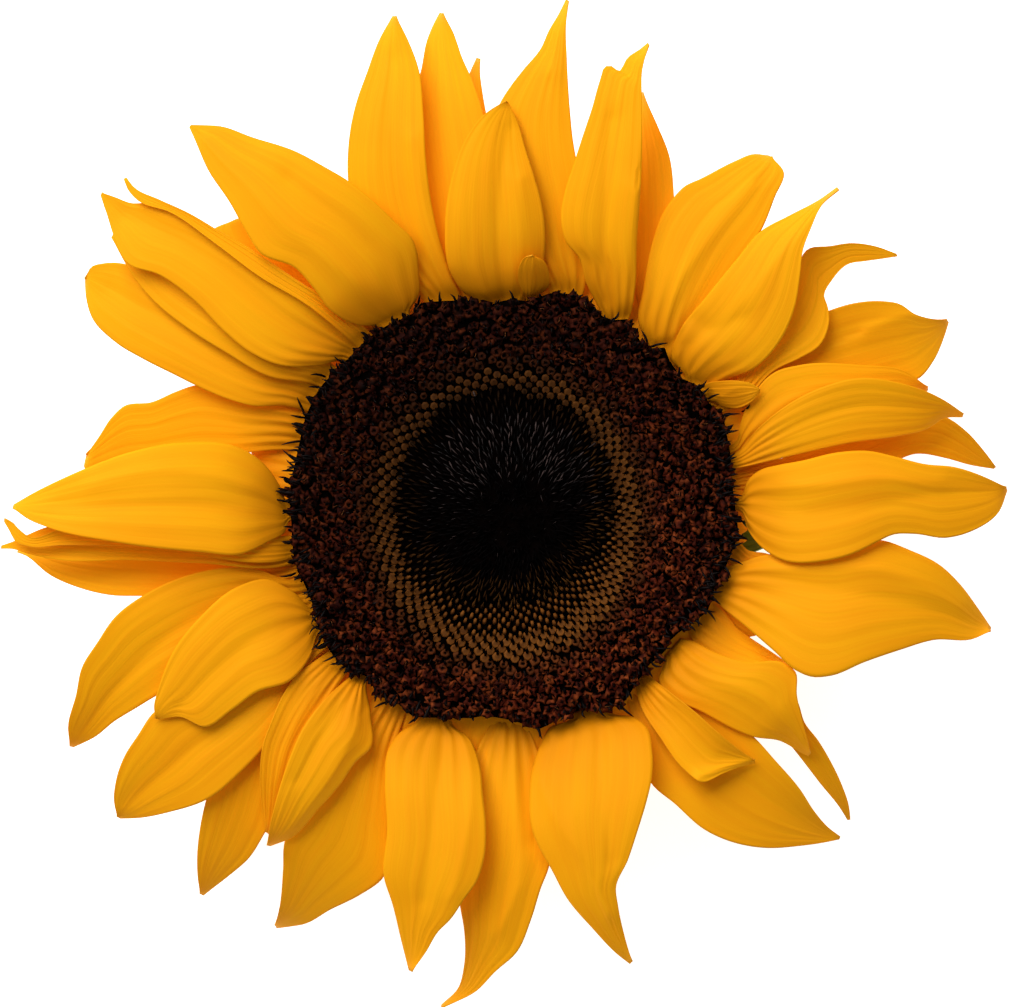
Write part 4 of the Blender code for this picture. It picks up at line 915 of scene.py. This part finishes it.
def centre_scales(finish, gloss, places, chance):
    """The shut florets of the middle, each under a dark scale that lies in towards the middle over it.
    Those next to the golden ring are brown, more so on the disc's bright side, which is painted light;
    towards the top of the picture some have a soft gloss and a grey colour that is a painted highlight."""
    x, y, radius, share = places
    kept = share < ring_inner_edge(x, y) + 0.04
    x, y, radius, share = x[kept], y[kept], radius[kept], share[kept]
    count = len(x)
    scale = tube([(0.3, 0, -0.8), (0.24, 0, -0.15), (0.0, 0, 0.16), (-0.45, 0, 0.36), (-1.05, 0, 0.42)],
                 (0.2, 0.25, 0.2, 0.11, 0.02), 4, 0.8)
    thin = tube([(0.3, 0, -0.5), (0.2, 0, 0.0), (-0.1, 0, 0.2), (-0.6, 0, 0.36), (-1.25, 0, 0.4)],
                (0.06, 0.13, 0.15, 0.09, 0.02), 4, 0.8)
    tilt = chance.normal(0.0, 0.22, count) - 0.1
    spin = chance.normal(0, 1, count) * np.interp(radius, (0, 4, 8), (2.0, 1.0, 0.2))
    size = chance.uniform(0.7, 1.2, count) * np.interp(radius, (0, 5, 8, 16), (0.55, 0.62, 0.9, 1.05))
    height = disc_height(radius) - 0.1 + chance.uniform(-0.35, 0.15, count)
    shade = chance.uniform(0, 1, count)
    inside = ring_inner_edge(x, y) - share + chance.normal(0, 0.03, count)
    # Brown by the ring is the scales' own colour; its rise on the disc's bright side is painted light.
    brown = (1 - eased(inside, 0.0, 0.2)) * (0.12 + 0.6 * facing(x, y))
    wreath = eased(radius, 5, 10) * (1 - eased(radius, 15, 18))
    # Share of scales given a painted grey highlight, most on the top side of the middle.
    painted_light = 0.08 + 0.7 * (2 * northward(x, y) - 0.8).clip(0, 1) * wreath
    gloss_and_painted_glint = chance.uniform(0, 1, count) < painted_light
    size = np.where(gloss_and_painted_glint, size * np.interp(northward(x, y), (0.4, 0.8), (0.5, 1.0)), size)
    groups = (
        ("centre_scales", ~gloss_and_painted_glint, scale, finish),
        ("centre_painted_glints", gloss_and_painted_glint, thin, gloss),
    )
    for name, m, shape, chosen in groups:
        points, faces, values = scattered(shape, x[m], y[m], height[m], tilt[m], spin[m], size[m],
                                          shade=shade[m], brown=brown[m])
        mesh_piece(name, points, faces, chosen, "dark_bud", ["centre_disc_florets"], **values)


def disc_scales(finish, black, places, chance):
    """A dark pointed scale beside each open floret, standing out of the gaps between them and longer
    towards the rim, and a black one over each bud of the ring and each short cup next to it, lying in
    towards the middle like a drop."""
    x, y, radius, share = places
    kept = (share >= ring_inner_edge(x, y) - 0.04) & (radius < rim_radius(x, y) - FLORET_RIM_GAP)
    x, y, radius, share = x[kept], y[kept], radius[kept], share[kept]
    count = len(x)
    scale = tube([(0.1, 0, -0.9), (0.1, 0, -0.1), (-0.12, 0, 0.22), (-0.62, 0, 0.42)],
                 (0.18, 0.26, 0.2, 0.02), 4, 0.8)
    drop = tube([(0.3, 0, -0.7), (0.26, 0, 0.02), (0.0, 0, 0.14), (-0.5, 0, 0.2), (-0.95, 0, 0.18)],
                (0.1, 0.34, 0.34, 0.16, 0.02), 5, 0.9)
    outward = np.interp(share, (0.6, 0.84, 1.0, 1.15, 1.6, 1.75), (-0.6, -0.66, -0.75, -0.85, 0.7, 0.8))
    heading = np.arctan2(y, x)
    bright = facing(x, y)
    x, y = x + outward * np.cos(heading), y + outward * np.sin(heading)
    tilt = np.interp(radius, (15, 22, 28, 34, 37), (0.0, 0.05, 0.4, 1.1, 1.7))
    tilt += chance.normal(0, 0.2, count) * eased(share, 0.95, 1.1)
    size = np.interp(radius, (22, 25, 34, 37), (0.9, 0.9, 1.35, 2.0)) * chance.uniform(0.75, 1.2, count)
    spin = chance.normal(0, 0.25, count)
    ring = share < RING_DROPS_UNTIL
    drop_size = np.interp(share, (0.6, 0.84, 1.0), (0.72, 0.86, 0.86)) * (0.8 + 0.2 * bright)
    size = np.where(ring, drop_size, size)
    spin = np.where(ring, 0.4 * spin, spin)
    height = disc_height(radius) - 0.08
    groups = (
        ("disc_scales", ~ring, scale, finish, "outer_disc_florets"),
        ("ring_scales", ring, drop, black, "ring_disc_florets"),
    )
    for name, m, shape, chosen, packed in groups:
        points, faces, values = scattered(shape, x[m], y[m], height[m], tilt[m], spin[m], size[m])
        mesh_piece(name, points, faces, chosen, "dark_bud", [packed], **values)


def curved_scales(root, tip, bend, thickness):
    """Long scales from root to tip, arrays of points: rings of four points along a bow whose middle is
    raised and pushed sideways by its bend, thin at both ends."""
    t = np.array([0, 0.3, 0.6, 0.85, 1])[None, :, None]
    ahead = tip - root
    side = np.stack([-ahead[:, 1], ahead[:, 0], 0 * ahead[:, 0]], 1)
    side /= np.linalg.norm(side, axis=1, keepdims=True)
    middle = root[:, None] * (1 - t) + tip[:, None] * t
    bow = 4 * t * (1 - t)
    middle = middle + bow * (side[:, None] * bend[:, None, None] + (0, 0, 0.35))
    width = thickness * np.array([0.8, 1.0, 0.85, 0.5, 0.08])[None, :, None, None]
    angles = np.arange(4) * math.pi / 2
    ring = side[:, None, None] * np.cos(angles)[:, None] + np.array((0, 0, 0.6)) * np.sin(angles)[:, None]
    points = middle[:, :, None] + ring * width
    _, faces = lofted(points[0])
    count = points.shape[1] * 4
    ends = np.stack([points[:, 0].mean(1), points[:, -1].mean(1)], 1)
    points = np.concatenate([points.reshape(len(root), count, 3), ends], 1)
    starts = (np.arange(len(root)) * (count + 2))[:, None, None]
    return points.reshape(-1, 3), (faces[:, ::-1] + starts).reshape(-1, 3)


def rim_scales(finish, chance):
    """The scales of the rim that stand out over the petals: those read off the picture, and others
    spread between them by a seeded draw, longer and closer together on the disc's left and right."""
    read = np.array(RIM_SCALES, float)
    root, tip = placed(read[:, :2]), placed(read[:, 2:])
    angle = chance.uniform(0, 2 * math.pi, 420)
    sideways = np.cos(angle) ** 2
    angle = angle[chance.uniform(0, 1, len(angle)) < 0.3 + 0.7 * sideways]
    sideways = np.cos(angle) ** 2
    rim = rim_radius(np.cos(angle), np.sin(angle))
    start = rim - chance.uniform(0.6, 1.8, len(angle)) - 2.6 * sideways * chance.uniform(0, 1, len(angle))
    length = chance.uniform(0.8, 1.8, len(angle)) * (0.8 + 0.8 * sideways)
    aside = angle + chance.normal(0, 0.5, len(angle))
    more_root = np.stack([np.cos(angle), np.sin(angle)], 1) * start[:, None]
    more_tip = more_root + np.stack([np.cos(aside), np.sin(aside)], 1) * length[:, None]
    root, tip = np.concatenate([root, more_root]), np.concatenate([tip, more_tip])
    low = disc_height(np.hypot(*root.T)) - 0.5
    high = np.concatenate([np.full(len(read), 24.1), disc_height(np.hypot(*more_tip.T)) + 0.7])
    root, tip = np.column_stack([root, low]), np.column_stack([tip, high])
    bend = chance.normal(0, 0.2, len(root))
    points, faces = curved_scales(drawn_in(root), drawn_in(tip), bend, 0.2)
    mesh_piece("rim_scales", points, faces, finish, "dark_bud", ["outer_disc_florets"])


def bract(tip_radius, tip_height, half_width, turn, chance):
    """A pointed leaf of the back: its half width follows a sine skewed towards its root and runs out in
    a fine point, and it climbs from the dish's underside and levels out, with a rib down its middle."""
    u = np.linspace(0, 1, 19)[:, None]
    v = np.linspace(-1, 1, 9)[None, :]
    radius = BRACT_ROOT_RADIUS + (tip_radius - BRACT_ROOT_RADIUS) * u
    width = half_width * (0.25 + 0.75 * np.sin(math.pi * u**0.8)) * (1 - u**3) + 0.12
    height = BRACT_ROOT_HEIGHT + (tip_height - BRACT_ROOT_HEIGHT) * (1 - (1 - u) ** 2) + 0.5 * v**2
    height = height + 0.25 * np.exp(-((v / 0.12) ** 2)) * (1 - u) + 0.04 * np.cos(9 * v)
    height = height + 0.3 * v * np.sin(4 * u + chance.uniform(0, 6)) * u
    x, y = radius + 0 * v, width * -v + 0.6 * u**2 * chance.normal(0, 1)
    top = np.stack([
        x * math.cos(turn) - y * math.sin(turn),
        x * math.sin(turn) + y * math.cos(turn),
        height + 0 * x,
    ], axis=2)
    points, faces, _ = blade(top, np.full(top.shape[:2], BRACT_THICKNESS))
    place = np.stack([u + 0 * v, v + 0 * u, np.full(x.shape, turn)], 2).reshape(-1, 3)
    return points, faces, {"place": np.tile(place, (2, 1))}


def green_back(finish, chance):
    """The stub of the stalk, the dish of the receptacle and the bracts under the petals."""
    profile = ((8.9, 0), (9.0, 0.3), (9.0, 3.5), (9.8, 6.5), (13.0, 7.8), (22.0, 9.6), (30.0, 13.0),
               (34.0, 15.4), (34.8, 16.8), (34.2, 17.8), (23.5, 19.0), (1.0, 20.2))
    angles = np.arange(72) * 2 * math.pi / 72
    profile = smooth_curve(profile, np.linspace(0, 1, 40))
    profile[:, 1] = profile[:, 1].clip(0)
    rings = []
    for radius, height in profile:
        ribbed = radius + 0.09 * np.cos(18 * angles) * (height < 12) * (height > 0.2)
        rings.append(np.stack([ribbed * np.cos(angles), ribbed * np.sin(angles), 0 * angles + height], 1))
    points, faces = lofted(np.array(rings))
    radius = np.hypot(points[:, 0], points[:, 1])
    place = np.stack([points[:, 2] / 10, np.arctan2(points[:, 1], points[:, 0]) * 3, radius / 30], 1)
    parts = [(points, faces, {"place": place})]
    for tip_radius, tip_height, half_width, first in BRACT_ROWS:
        for k in range(BRACTS_IN_A_ROW):
            turn = math.radians(first + k * 360 / BRACTS_IN_A_ROW)
            parts.append(bract(tip_radius, tip_height, half_width, turn, chance))
    points, faces, values = joined(parts)
    mesh_piece("green_back", points, faces, finish, "green", ["receptacle_and_bracts"], **values)


def node(tree, kind, inputs=None, **settings):
    """A shader node with its settings, and its inputs either linked to a socket or set to a value."""
    made = tree.nodes.new(kind)
    for key, value in settings.items():
        setattr(made, key, value)
    for key, value in (inputs or {}).items():
        if isinstance(value, bpy.types.NodeSocket):
            tree.links.new(value, made.inputs[key])
        else:
            made.inputs[key].default_value = value
    return made


def math_node(tree, operation, first, second=0.0, third=0.0):
    """The result of one step of arithmetic."""
    return node(tree, "ShaderNodeMath", {0: first, 1: second, 2: third}, operation=operation).outputs[0]


def mixed(tree, share, first, second):
    """A colour between two, by a share from 0 to 1."""
    inputs = {0: share, 6: first, 7: second}
    return node(tree, "ShaderNodeMix", inputs, data_type="RGBA").outputs[2]


def shared_group(name, inputs, outputs):
    """A node group with float or vector inputs and float outputs, its tree and its two end nodes."""
    tree = bpy.data.node_groups.new(name, "ShaderNodeTree")
    for key, kind, value in inputs:
        socket = tree.interface.new_socket(key, in_out="INPUT", socket_type=kind)
        if kind == "NodeSocketFloat":
            socket.default_value = value
    for key in outputs:
        tree.interface.new_socket(key, in_out="OUTPUT", socket_type="NodeSocketFloat")
    return tree, tree.nodes.new("NodeGroupInput"), tree.nodes.new("NodeGroupOutput")


def streaks_group():
    """Streaks along a blade: noise on the blade's own place (along, across, which one), drawn out along
    it, fine and broad, and the height of its fine ridges."""
    tree, start, end = shared_group("blade_streaks", [
        ("Place", "NodeSocketVector", None),
        ("Along", "NodeSocketFloat", 3.0),
        ("Across", "NodeSocketFloat", 20.0),
    ], ["Fine", "Broad", "Height"])
    parts = node(tree, "ShaderNodeSeparateXYZ", {0: start.outputs["Place"]}).outputs
    along = math_node(tree, "MULTIPLY", parts[0], start.outputs["Along"])
    across = math_node(tree, "MULTIPLY", parts[1], start.outputs["Across"])
    which = math_node(tree, "MULTIPLY", parts[2], 31.0)
    fine = node(tree, "ShaderNodeCombineXYZ", {0: along, 1: across, 2: which}).outputs[0]
    inputs = {0: fine, 1: (0.6, 0.14, 1.0)}
    broad = node(tree, "ShaderNodeVectorMath", inputs, operation="MULTIPLY").outputs[0]
    inputs = {"Vector": fine, "Scale": 1.0, "Detail": 3.0}
    fine_noise = node(tree, "ShaderNodeTexNoise", inputs).outputs[0]
    inputs = {"Vector": broad, "Scale": 1.0, "Detail": 2.0}
    broad_noise = node(tree, "ShaderNodeTexNoise", inputs).outputs[0]
    tree.links.new(fine_noise, end.inputs["Fine"])
    tree.links.new(broad_noise, end.inputs["Broad"])
    tree.links.new(math_node(tree, "SMOOTH_MIN", fine_noise, 0.62, 0.1), end.inputs["Height"])
    return tree


def mottle_group():
    """Blotches in the object's own space at a coarse and a fine scale."""
    tree, start, end = shared_group("mottle", [
        ("Coarse", "NodeSocketFloat", 300.0),
        ("Fine", "NodeSocketFloat", 1500.0),
    ], ["Blotch", "Speck"])
    space = node(tree, "ShaderNodeTexCoord").outputs["Object"]
    inputs = {"Vector": space, "Scale": start.outputs["Coarse"], "Detail": 2.0}
    tree.links.new(node(tree, "ShaderNodeTexNoise", inputs).outputs[0], end.inputs["Blotch"])
    inputs = {"Vector": space, "Scale": start.outputs["Fine"], "Detail": 2.0}
    tree.links.new(node(tree, "ShaderNodeTexNoise", inputs).outputs[0], end.inputs["Speck"])
    return tree


def mottled(tree, mottle, coarse, fine):
    """The shared blotches and specks at two scales."""
    return node(tree, "ShaderNodeGroup", {"Coarse": coarse, "Fine": fine}, node_tree=mottle).outputs


def streaked(tree, streaks, along, across):
    """The shared streaks on the blade's own place, at a scale along it and one across it."""
    inputs = {"Place": attribute(tree, "place", True), "Along": along, "Across": across}
    return node(tree, "ShaderNodeGroup", inputs, node_tree=streaks).outputs


def finish_of(name, roughness, specular, sheen=0.0):
    """A new material, its tree and its shader, whose even values are set on the shader's own sockets."""
    made = bpy.data.materials.new(name)
    made.use_nodes = True
    tree = made.node_tree
    shader = tree.nodes["Principled BSDF"]
    shader.inputs["Roughness"].default_value = roughness
    shader.inputs["Specular IOR Level"].default_value = specular
    shader.inputs["Sheen Weight"].default_value = sheen
    shader.inputs["Metallic"].default_value = 0
    return made, tree, shader


def attribute(tree, name, vector=False):
    """A number, or a vector, that every point of the piece carries."""
    made = node(tree, "ShaderNodeAttribute", attribute_name=name)
    return made.outputs["Vector" if vector else "Fac"]


def stretched(tree, value, low, high):
    """The value from low to high stretched to run from 0 to 1, and held there."""
    inputs = {"Value": value, "From Min": low, "From Max": high}
    return node(tree, "ShaderNodeMapRange", inputs).outputs[0]


def bumped(tree, shader, height, distance, strength=1.0):
    """Fine relief from a height that varies, as deep as the distance in millimetres."""
    inputs = {"Height": height, "Strength": strength, "Distance": distance * METRES_PER_MM}
    made = node(tree, "ShaderNodeBump", inputs)
    tree.links.new(made.outputs[0], shader.inputs["Normal"])


def petal_finish(streaks, mottle):
    """Warm yellow, orange streaks along it; base deeper orange, partly painted shade; duller underneath."""
    made, tree, shader = finish_of("petal", 0.65, 0.06)
    streak = streaked(tree, streaks, 2.2, 22.0)
    spots = mottled(tree, mottle, 60.0, 700.0)
    base = attribute(tree, "base")
    fine = stretched(tree, streak["Fine"], 0.3, 0.7)
    broad = stretched(tree, streak["Broad"], 0.3, 0.75)
    blotch = stretched(tree, spots["Blotch"], 0.35, 0.7)
    orange = math_node(tree, "MULTIPLY", fine, 0.3)
    orange = math_node(tree, "MULTIPLY_ADD", broad, 0.35, orange)
    orange = math_node(tree, "MULTIPLY_ADD", blotch, 0.35, orange)
    colour = mixed(tree, orange, (0.9, 0.385, 0.0022, 1), (0.87, 0.3, 0.0018, 1))
    # Partly the petal's own orange and partly painted shade next to the disc.
    deep = math_node(tree, "MULTIPLY", math_node(tree, "POWER", base, 1.4), 0.8)
    colour = mixed(tree, deep, colour, (0.68, 0.21, 0.0015, 1))
    under = math_node(tree, "MULTIPLY", attribute(tree, "under"), 0.7)
    colour = mixed(tree, under, colour, (0.72, 0.33, 0.02, 1))
    tree.links.new(colour, shader.inputs["Base Color"])
    bumped(tree, shader, streak["Height"], 0.07, 0.6)
    return made


def floret_finish(mottle):
    """Red-brown lobes, with painted light on their tops and painted shade down into the floret's mouth;
    young florets are browner, and those on the disc's shaded side get painted shade."""
    made, tree, shader = finish_of("open_floret", 0.65, 0.03)
    spots = mottled(tree, mottle, 620.0, 2500.0)
    tone = attribute(tree, "tone")
    shade = attribute(tree, "shade")
    lobes = mixed(tree, shade, (0.028, 0.004, 0.002, 1), (0.1, 0.013, 0.004, 1))
    blotch = stretched(tree, spots["Blotch"], 0.48, 0.68)
    lobes = mixed(tree, blotch, lobes, (0.25, 0.048, 0.01, 1))
    young = math_node(tree, "MULTIPLY", attribute(tree, "young"), 0.8)
    lobes = mixed(tree, young, lobes, (0.1, 0.03, 0.006, 1))
    # Painted light and shade: the tone darkens mouths and lobe undersides, bright darkens the shaded side.
    painted_light = math_node(tree, "POWER", stretched(tree, tone, 0.05, 1.0), 1.3)
    painted_light = math_node(tree, "MULTIPLY", painted_light, stretched(tree, attribute(tree, "bright"), -0.35, 1.0))
    colour = mixed(tree, painted_light, (0.0022, 0.0008, 0.0007, 1), lobes)
    tree.links.new(colour, shader.inputs["Base Color"])
    bumped(tree, shader, spots["Speck"], 0.05)
    return made


def bud_finish(mottle):
    """Golden brown, with painted light on the buds' tops and painted shade on their sides and on the disc's
    shaded side; those still deep in the ring are darker.
    """
    made, tree, shader = finish_of("floret_bud", 0.65, 0.04)
    spots = mottled(tree, mottle, 900.0, 3500.0)
    tone = math_node(tree, "POWER", stretched(tree, attribute(tree, "tone"), 0.2, 1.0), 1.3)
    gold = mixed(tree, attribute(tree, "shade"), (0.14, 0.043, 0.006, 1), (0.2, 0.066, 0.01, 1))
    gold = mixed(tree, stretched(tree, spots["Blotch"], 0.5, 0.75), gold, (0.1, 0.03, 0.005, 1))
    still_deep = math_node(tree, "SUBTRACT", 1.0, attribute(tree, "grown"))
    gold = mixed(tree, still_deep, gold, (0.07, 0.025, 0.005, 1))
    # Painted light on the buds' tops, painted shade on their sides and on the disc's shaded side.
    painted_light = math_node(tree, "MULTIPLY", tone, stretched(tree, attribute(tree, "bright"), -0.6, 1.0))
    colour = mixed(tree, painted_light, (0.003, 0.0014, 0.0009, 1), gold)
    tree.links.new(colour, shader.inputs["Base Color"])
    bumped(tree, shader, spots["Speck"], 0.04)
    return made


def dark_finish(name, mottle, roughness, specular, low, high):
    """Near black with a faint change of tone and fine relief."""
    made, tree, shader = finish_of(name, roughness, specular)
    spots = mottled(tree, mottle, 500.0, 3000.0)
    colour = mixed(tree, stretched(tree, spots["Blotch"], 0.35, 0.7), low, high)
    tree.links.new(colour, shader.inputs["Base Color"])
    bumped(tree, shader, spots["Speck"], 0.03)
    return made


def scale_finish(mottle):
    """Black on the shut florets' scales, browner beside the golden ring and, as painted light, more so on
    the disc's bright side; almost without gloss.
    """
    made, tree, shader = finish_of("centre_scale", 0.7, 0.015)
    spots = mottled(tree, mottle, 500.0, 3000.0)
    shade = attribute(tree, "shade")
    black = mixed(tree, shade, (0.0006, 0.0005, 0.0005, 1), (0.0022, 0.0014, 0.0014, 1))
    blotch = stretched(tree, spots["Blotch"], 0.4, 0.7)
    brown = mixed(tree, blotch, (0.05, 0.018, 0.004, 1), (0.12, 0.048, 0.01, 1))
    towards_tip = stretched(tree, attribute(tree, "tone"), 0.1, 0.7)
    share = math_node(tree, "MULTIPLY", attribute(tree, "brown"), towards_tip)
    colour = mixed(tree, share, black, brown)
    tree.links.new(colour, shader.inputs["Base Color"])
    bumped(tree, shader, spots["Speck"], 0.03)
    return made


def painted_glint_finish(mottle):
    """Painted highlight on some scales of the middle: from black to a dull purple grey, with a soft gloss.
    """
    made, tree, shader = finish_of("centre_painted_glint", 0.45, 0.12)
    spots = mottled(tree, mottle, 900.0, 3000.0)
    share = math_node(tree, "POWER", attribute(tree, "shade"), 1.6)
    # Painted highlight: the purple grey stands in for glints on the scales.
    colour = mixed(tree, share, (0.0015, 0.001, 0.001, 1), (0.07, 0.045, 0.04, 1))
    blotch = stretched(tree, spots["Blotch"], 0.4, 0.7)
    colour = mixed(tree, blotch, colour, (0.002, 0.0015, 0.0015, 1))
    tree.links.new(colour, shader.inputs["Base Color"])
    bumped(tree, shader, spots["Speck"], 0.03)
    return made


def green_finish(streaks, mottle):
    """Leaf green with paler streaks and darker blotches; the cut face of the stub is pale pith."""
    made, tree, shader = finish_of("green", 0.6, 0.3, 0.1)
    streak = streaked(tree, streaks, 4.0, 11.0)
    spots = mottled(tree, mottle, 160.0, 1200.0)
    fine = stretched(tree, streak["Fine"], 0.35, 0.7)
    colour = mixed(tree, fine, (0.1, 0.19, 0.03, 1), (0.2, 0.32, 0.07, 1))
    blotch = stretched(tree, spots["Blotch"], 0.45, 0.75)
    colour = mixed(tree, blotch, colour, (0.07, 0.13, 0.025, 1))
    space = node(tree, "ShaderNodeTexCoord").outputs["Object"]
    height = node(tree, "ShaderNodeSeparateXYZ", {0: space}).outputs[2]
    cut = stretched(tree, height, 0.0002, 0.00005)
    colour = mixed(tree, cut, colour, (0.55, 0.6, 0.32, 1))
    tree.links.new(colour, shader.inputs["Base Color"])
    bumped(tree, shader, streak["Height"], 0.15, 0.8)
    return made


def light(name, place, aim, size, power):
    """A square soft light of that size in metres, turned to face a point."""
    data = bpy.data.lights.new(name, "AREA")
    data.size = size
    data.energy = power
    obj = bpy.data.objects.new(name, data)
    bpy.context.scene.collection.objects.link(obj)
    away = np.array(place) - np.array(aim)
    flat = math.hypot(away[0], away[1])
    obj.location = place
    obj.rotation_euler = (math.atan2(flat, away[2]), 0, math.atan2(away[0], -away[1]))


def studio():
    """Pale floor, an even pale surround, and one large soft light from above the picture's top left."""
    mesh = bpy.data.meshes.new("floor")
    half = FLOOR_HALF
    corners = [(-half, -half, 0), (half, -half, 0), (half, half, 0), (-half, half, 0)]
    mesh.from_pydata(corners, [], [(0, 1, 2, 3)])
    floor = bpy.data.objects.new("floor", mesh)
    bpy.context.scene.collection.objects.link(floor)
    made, _, shader = finish_of("floor", 0.9, 0.1)
    shader.inputs["Base Color"].default_value = (0.93, 0.93, 0.93, 1)
    shader.inputs["Emission Color"].default_value = (1, 1, 1, 1)
    shader.inputs["Emission Strength"].default_value = 0.8
    mesh.materials.append(made)
    world = bpy.data.worlds.new("surround")
    world.use_nodes = True
    world.node_tree.nodes["Background"].inputs["Color"].default_value = (1, 1, 1, 1)
    world.node_tree.nodes["Background"].inputs["Strength"].default_value = SURROUND_STRENGTH
    bpy.context.scene.world = world
    light("key", KEY_PLACE, KEY_AIM, KEY_SIZE, KEY_POWER)


def camera():
    """Straight down on the flower's face, as the picture was taken, with the frame as wide as the picture
    is at its plane."""
    data = bpy.data.cameras.new("camera")
    data.sensor_width = SENSOR_WIDTH
    frame_width = PICTURE_SIZE[0] * MM_PER_POINT
    data.lens = SENSOR_WIDTH * (PICTURE_TAKEN_FROM - PICTURE_PLANE) / frame_width
    obj = bpy.data.objects.new("camera", data)
    bpy.context.scene.collection.objects.link(obj)
    middle = placed([PICTURE_MIDDLE])[0] * METRES_PER_MM
    obj.location = (middle[0], middle[1], PICTURE_TAKEN_FROM * METRES_PER_MM)
    bpy.context.scene.camera = obj


def seeded(step):
    """The random numbers of one kind of piece, the same ones every run."""
    return np.random.default_rng(FIRST_SEED + step)


def main():
    """The whole picture: camera, studio, finishes, and the flower piece by piece."""
    camera()
    studio()
    streaks, mottle = streaks_group(), mottle_group()
    petal = petal_finish(streaks, mottle)
    petals(petal)
    petal_collar(petal)
    x, y = floret_places(seeded(0))
    places = (x, y, np.hypot(x, y), ring_share(x, y))
    black = dark_finish("disc_bed", mottle, 0.9, 0.0,
                        (0.0006, 0.0004, 0.0004, 1), (0.0022, 0.0011, 0.0009, 1))
    shut = scale_finish(mottle)
    glint = painted_glint_finish(mottle)
    scale = dark_finish("scale", mottle, 0.5, 0.08,
                        (0.0015, 0.0009, 0.0009, 1), (0.006, 0.0025, 0.002, 1))
    arms = dark_finish("stigma", mottle, 0.5, 0.1,
                       (0.06, 0.016, 0.005, 1), (0.17, 0.06, 0.015, 1))
    disc_bed(black)
    open_florets(floret_finish(mottle), arms, places, seeded(1))
    ring_buds(bud_finish(mottle), places, seeded(2))
    centre_scales(shut, glint, places, seeded(3))
    disc_scales(scale, black, places, seeded(4))
    rim_scales(scale, seeded(5))
    green_back(green_finish(streaks, mottle), seeded(6))
    view = bpy.context.scene.view_settings
    view.view_transform = "Standard"
    view.look = "None"


main()
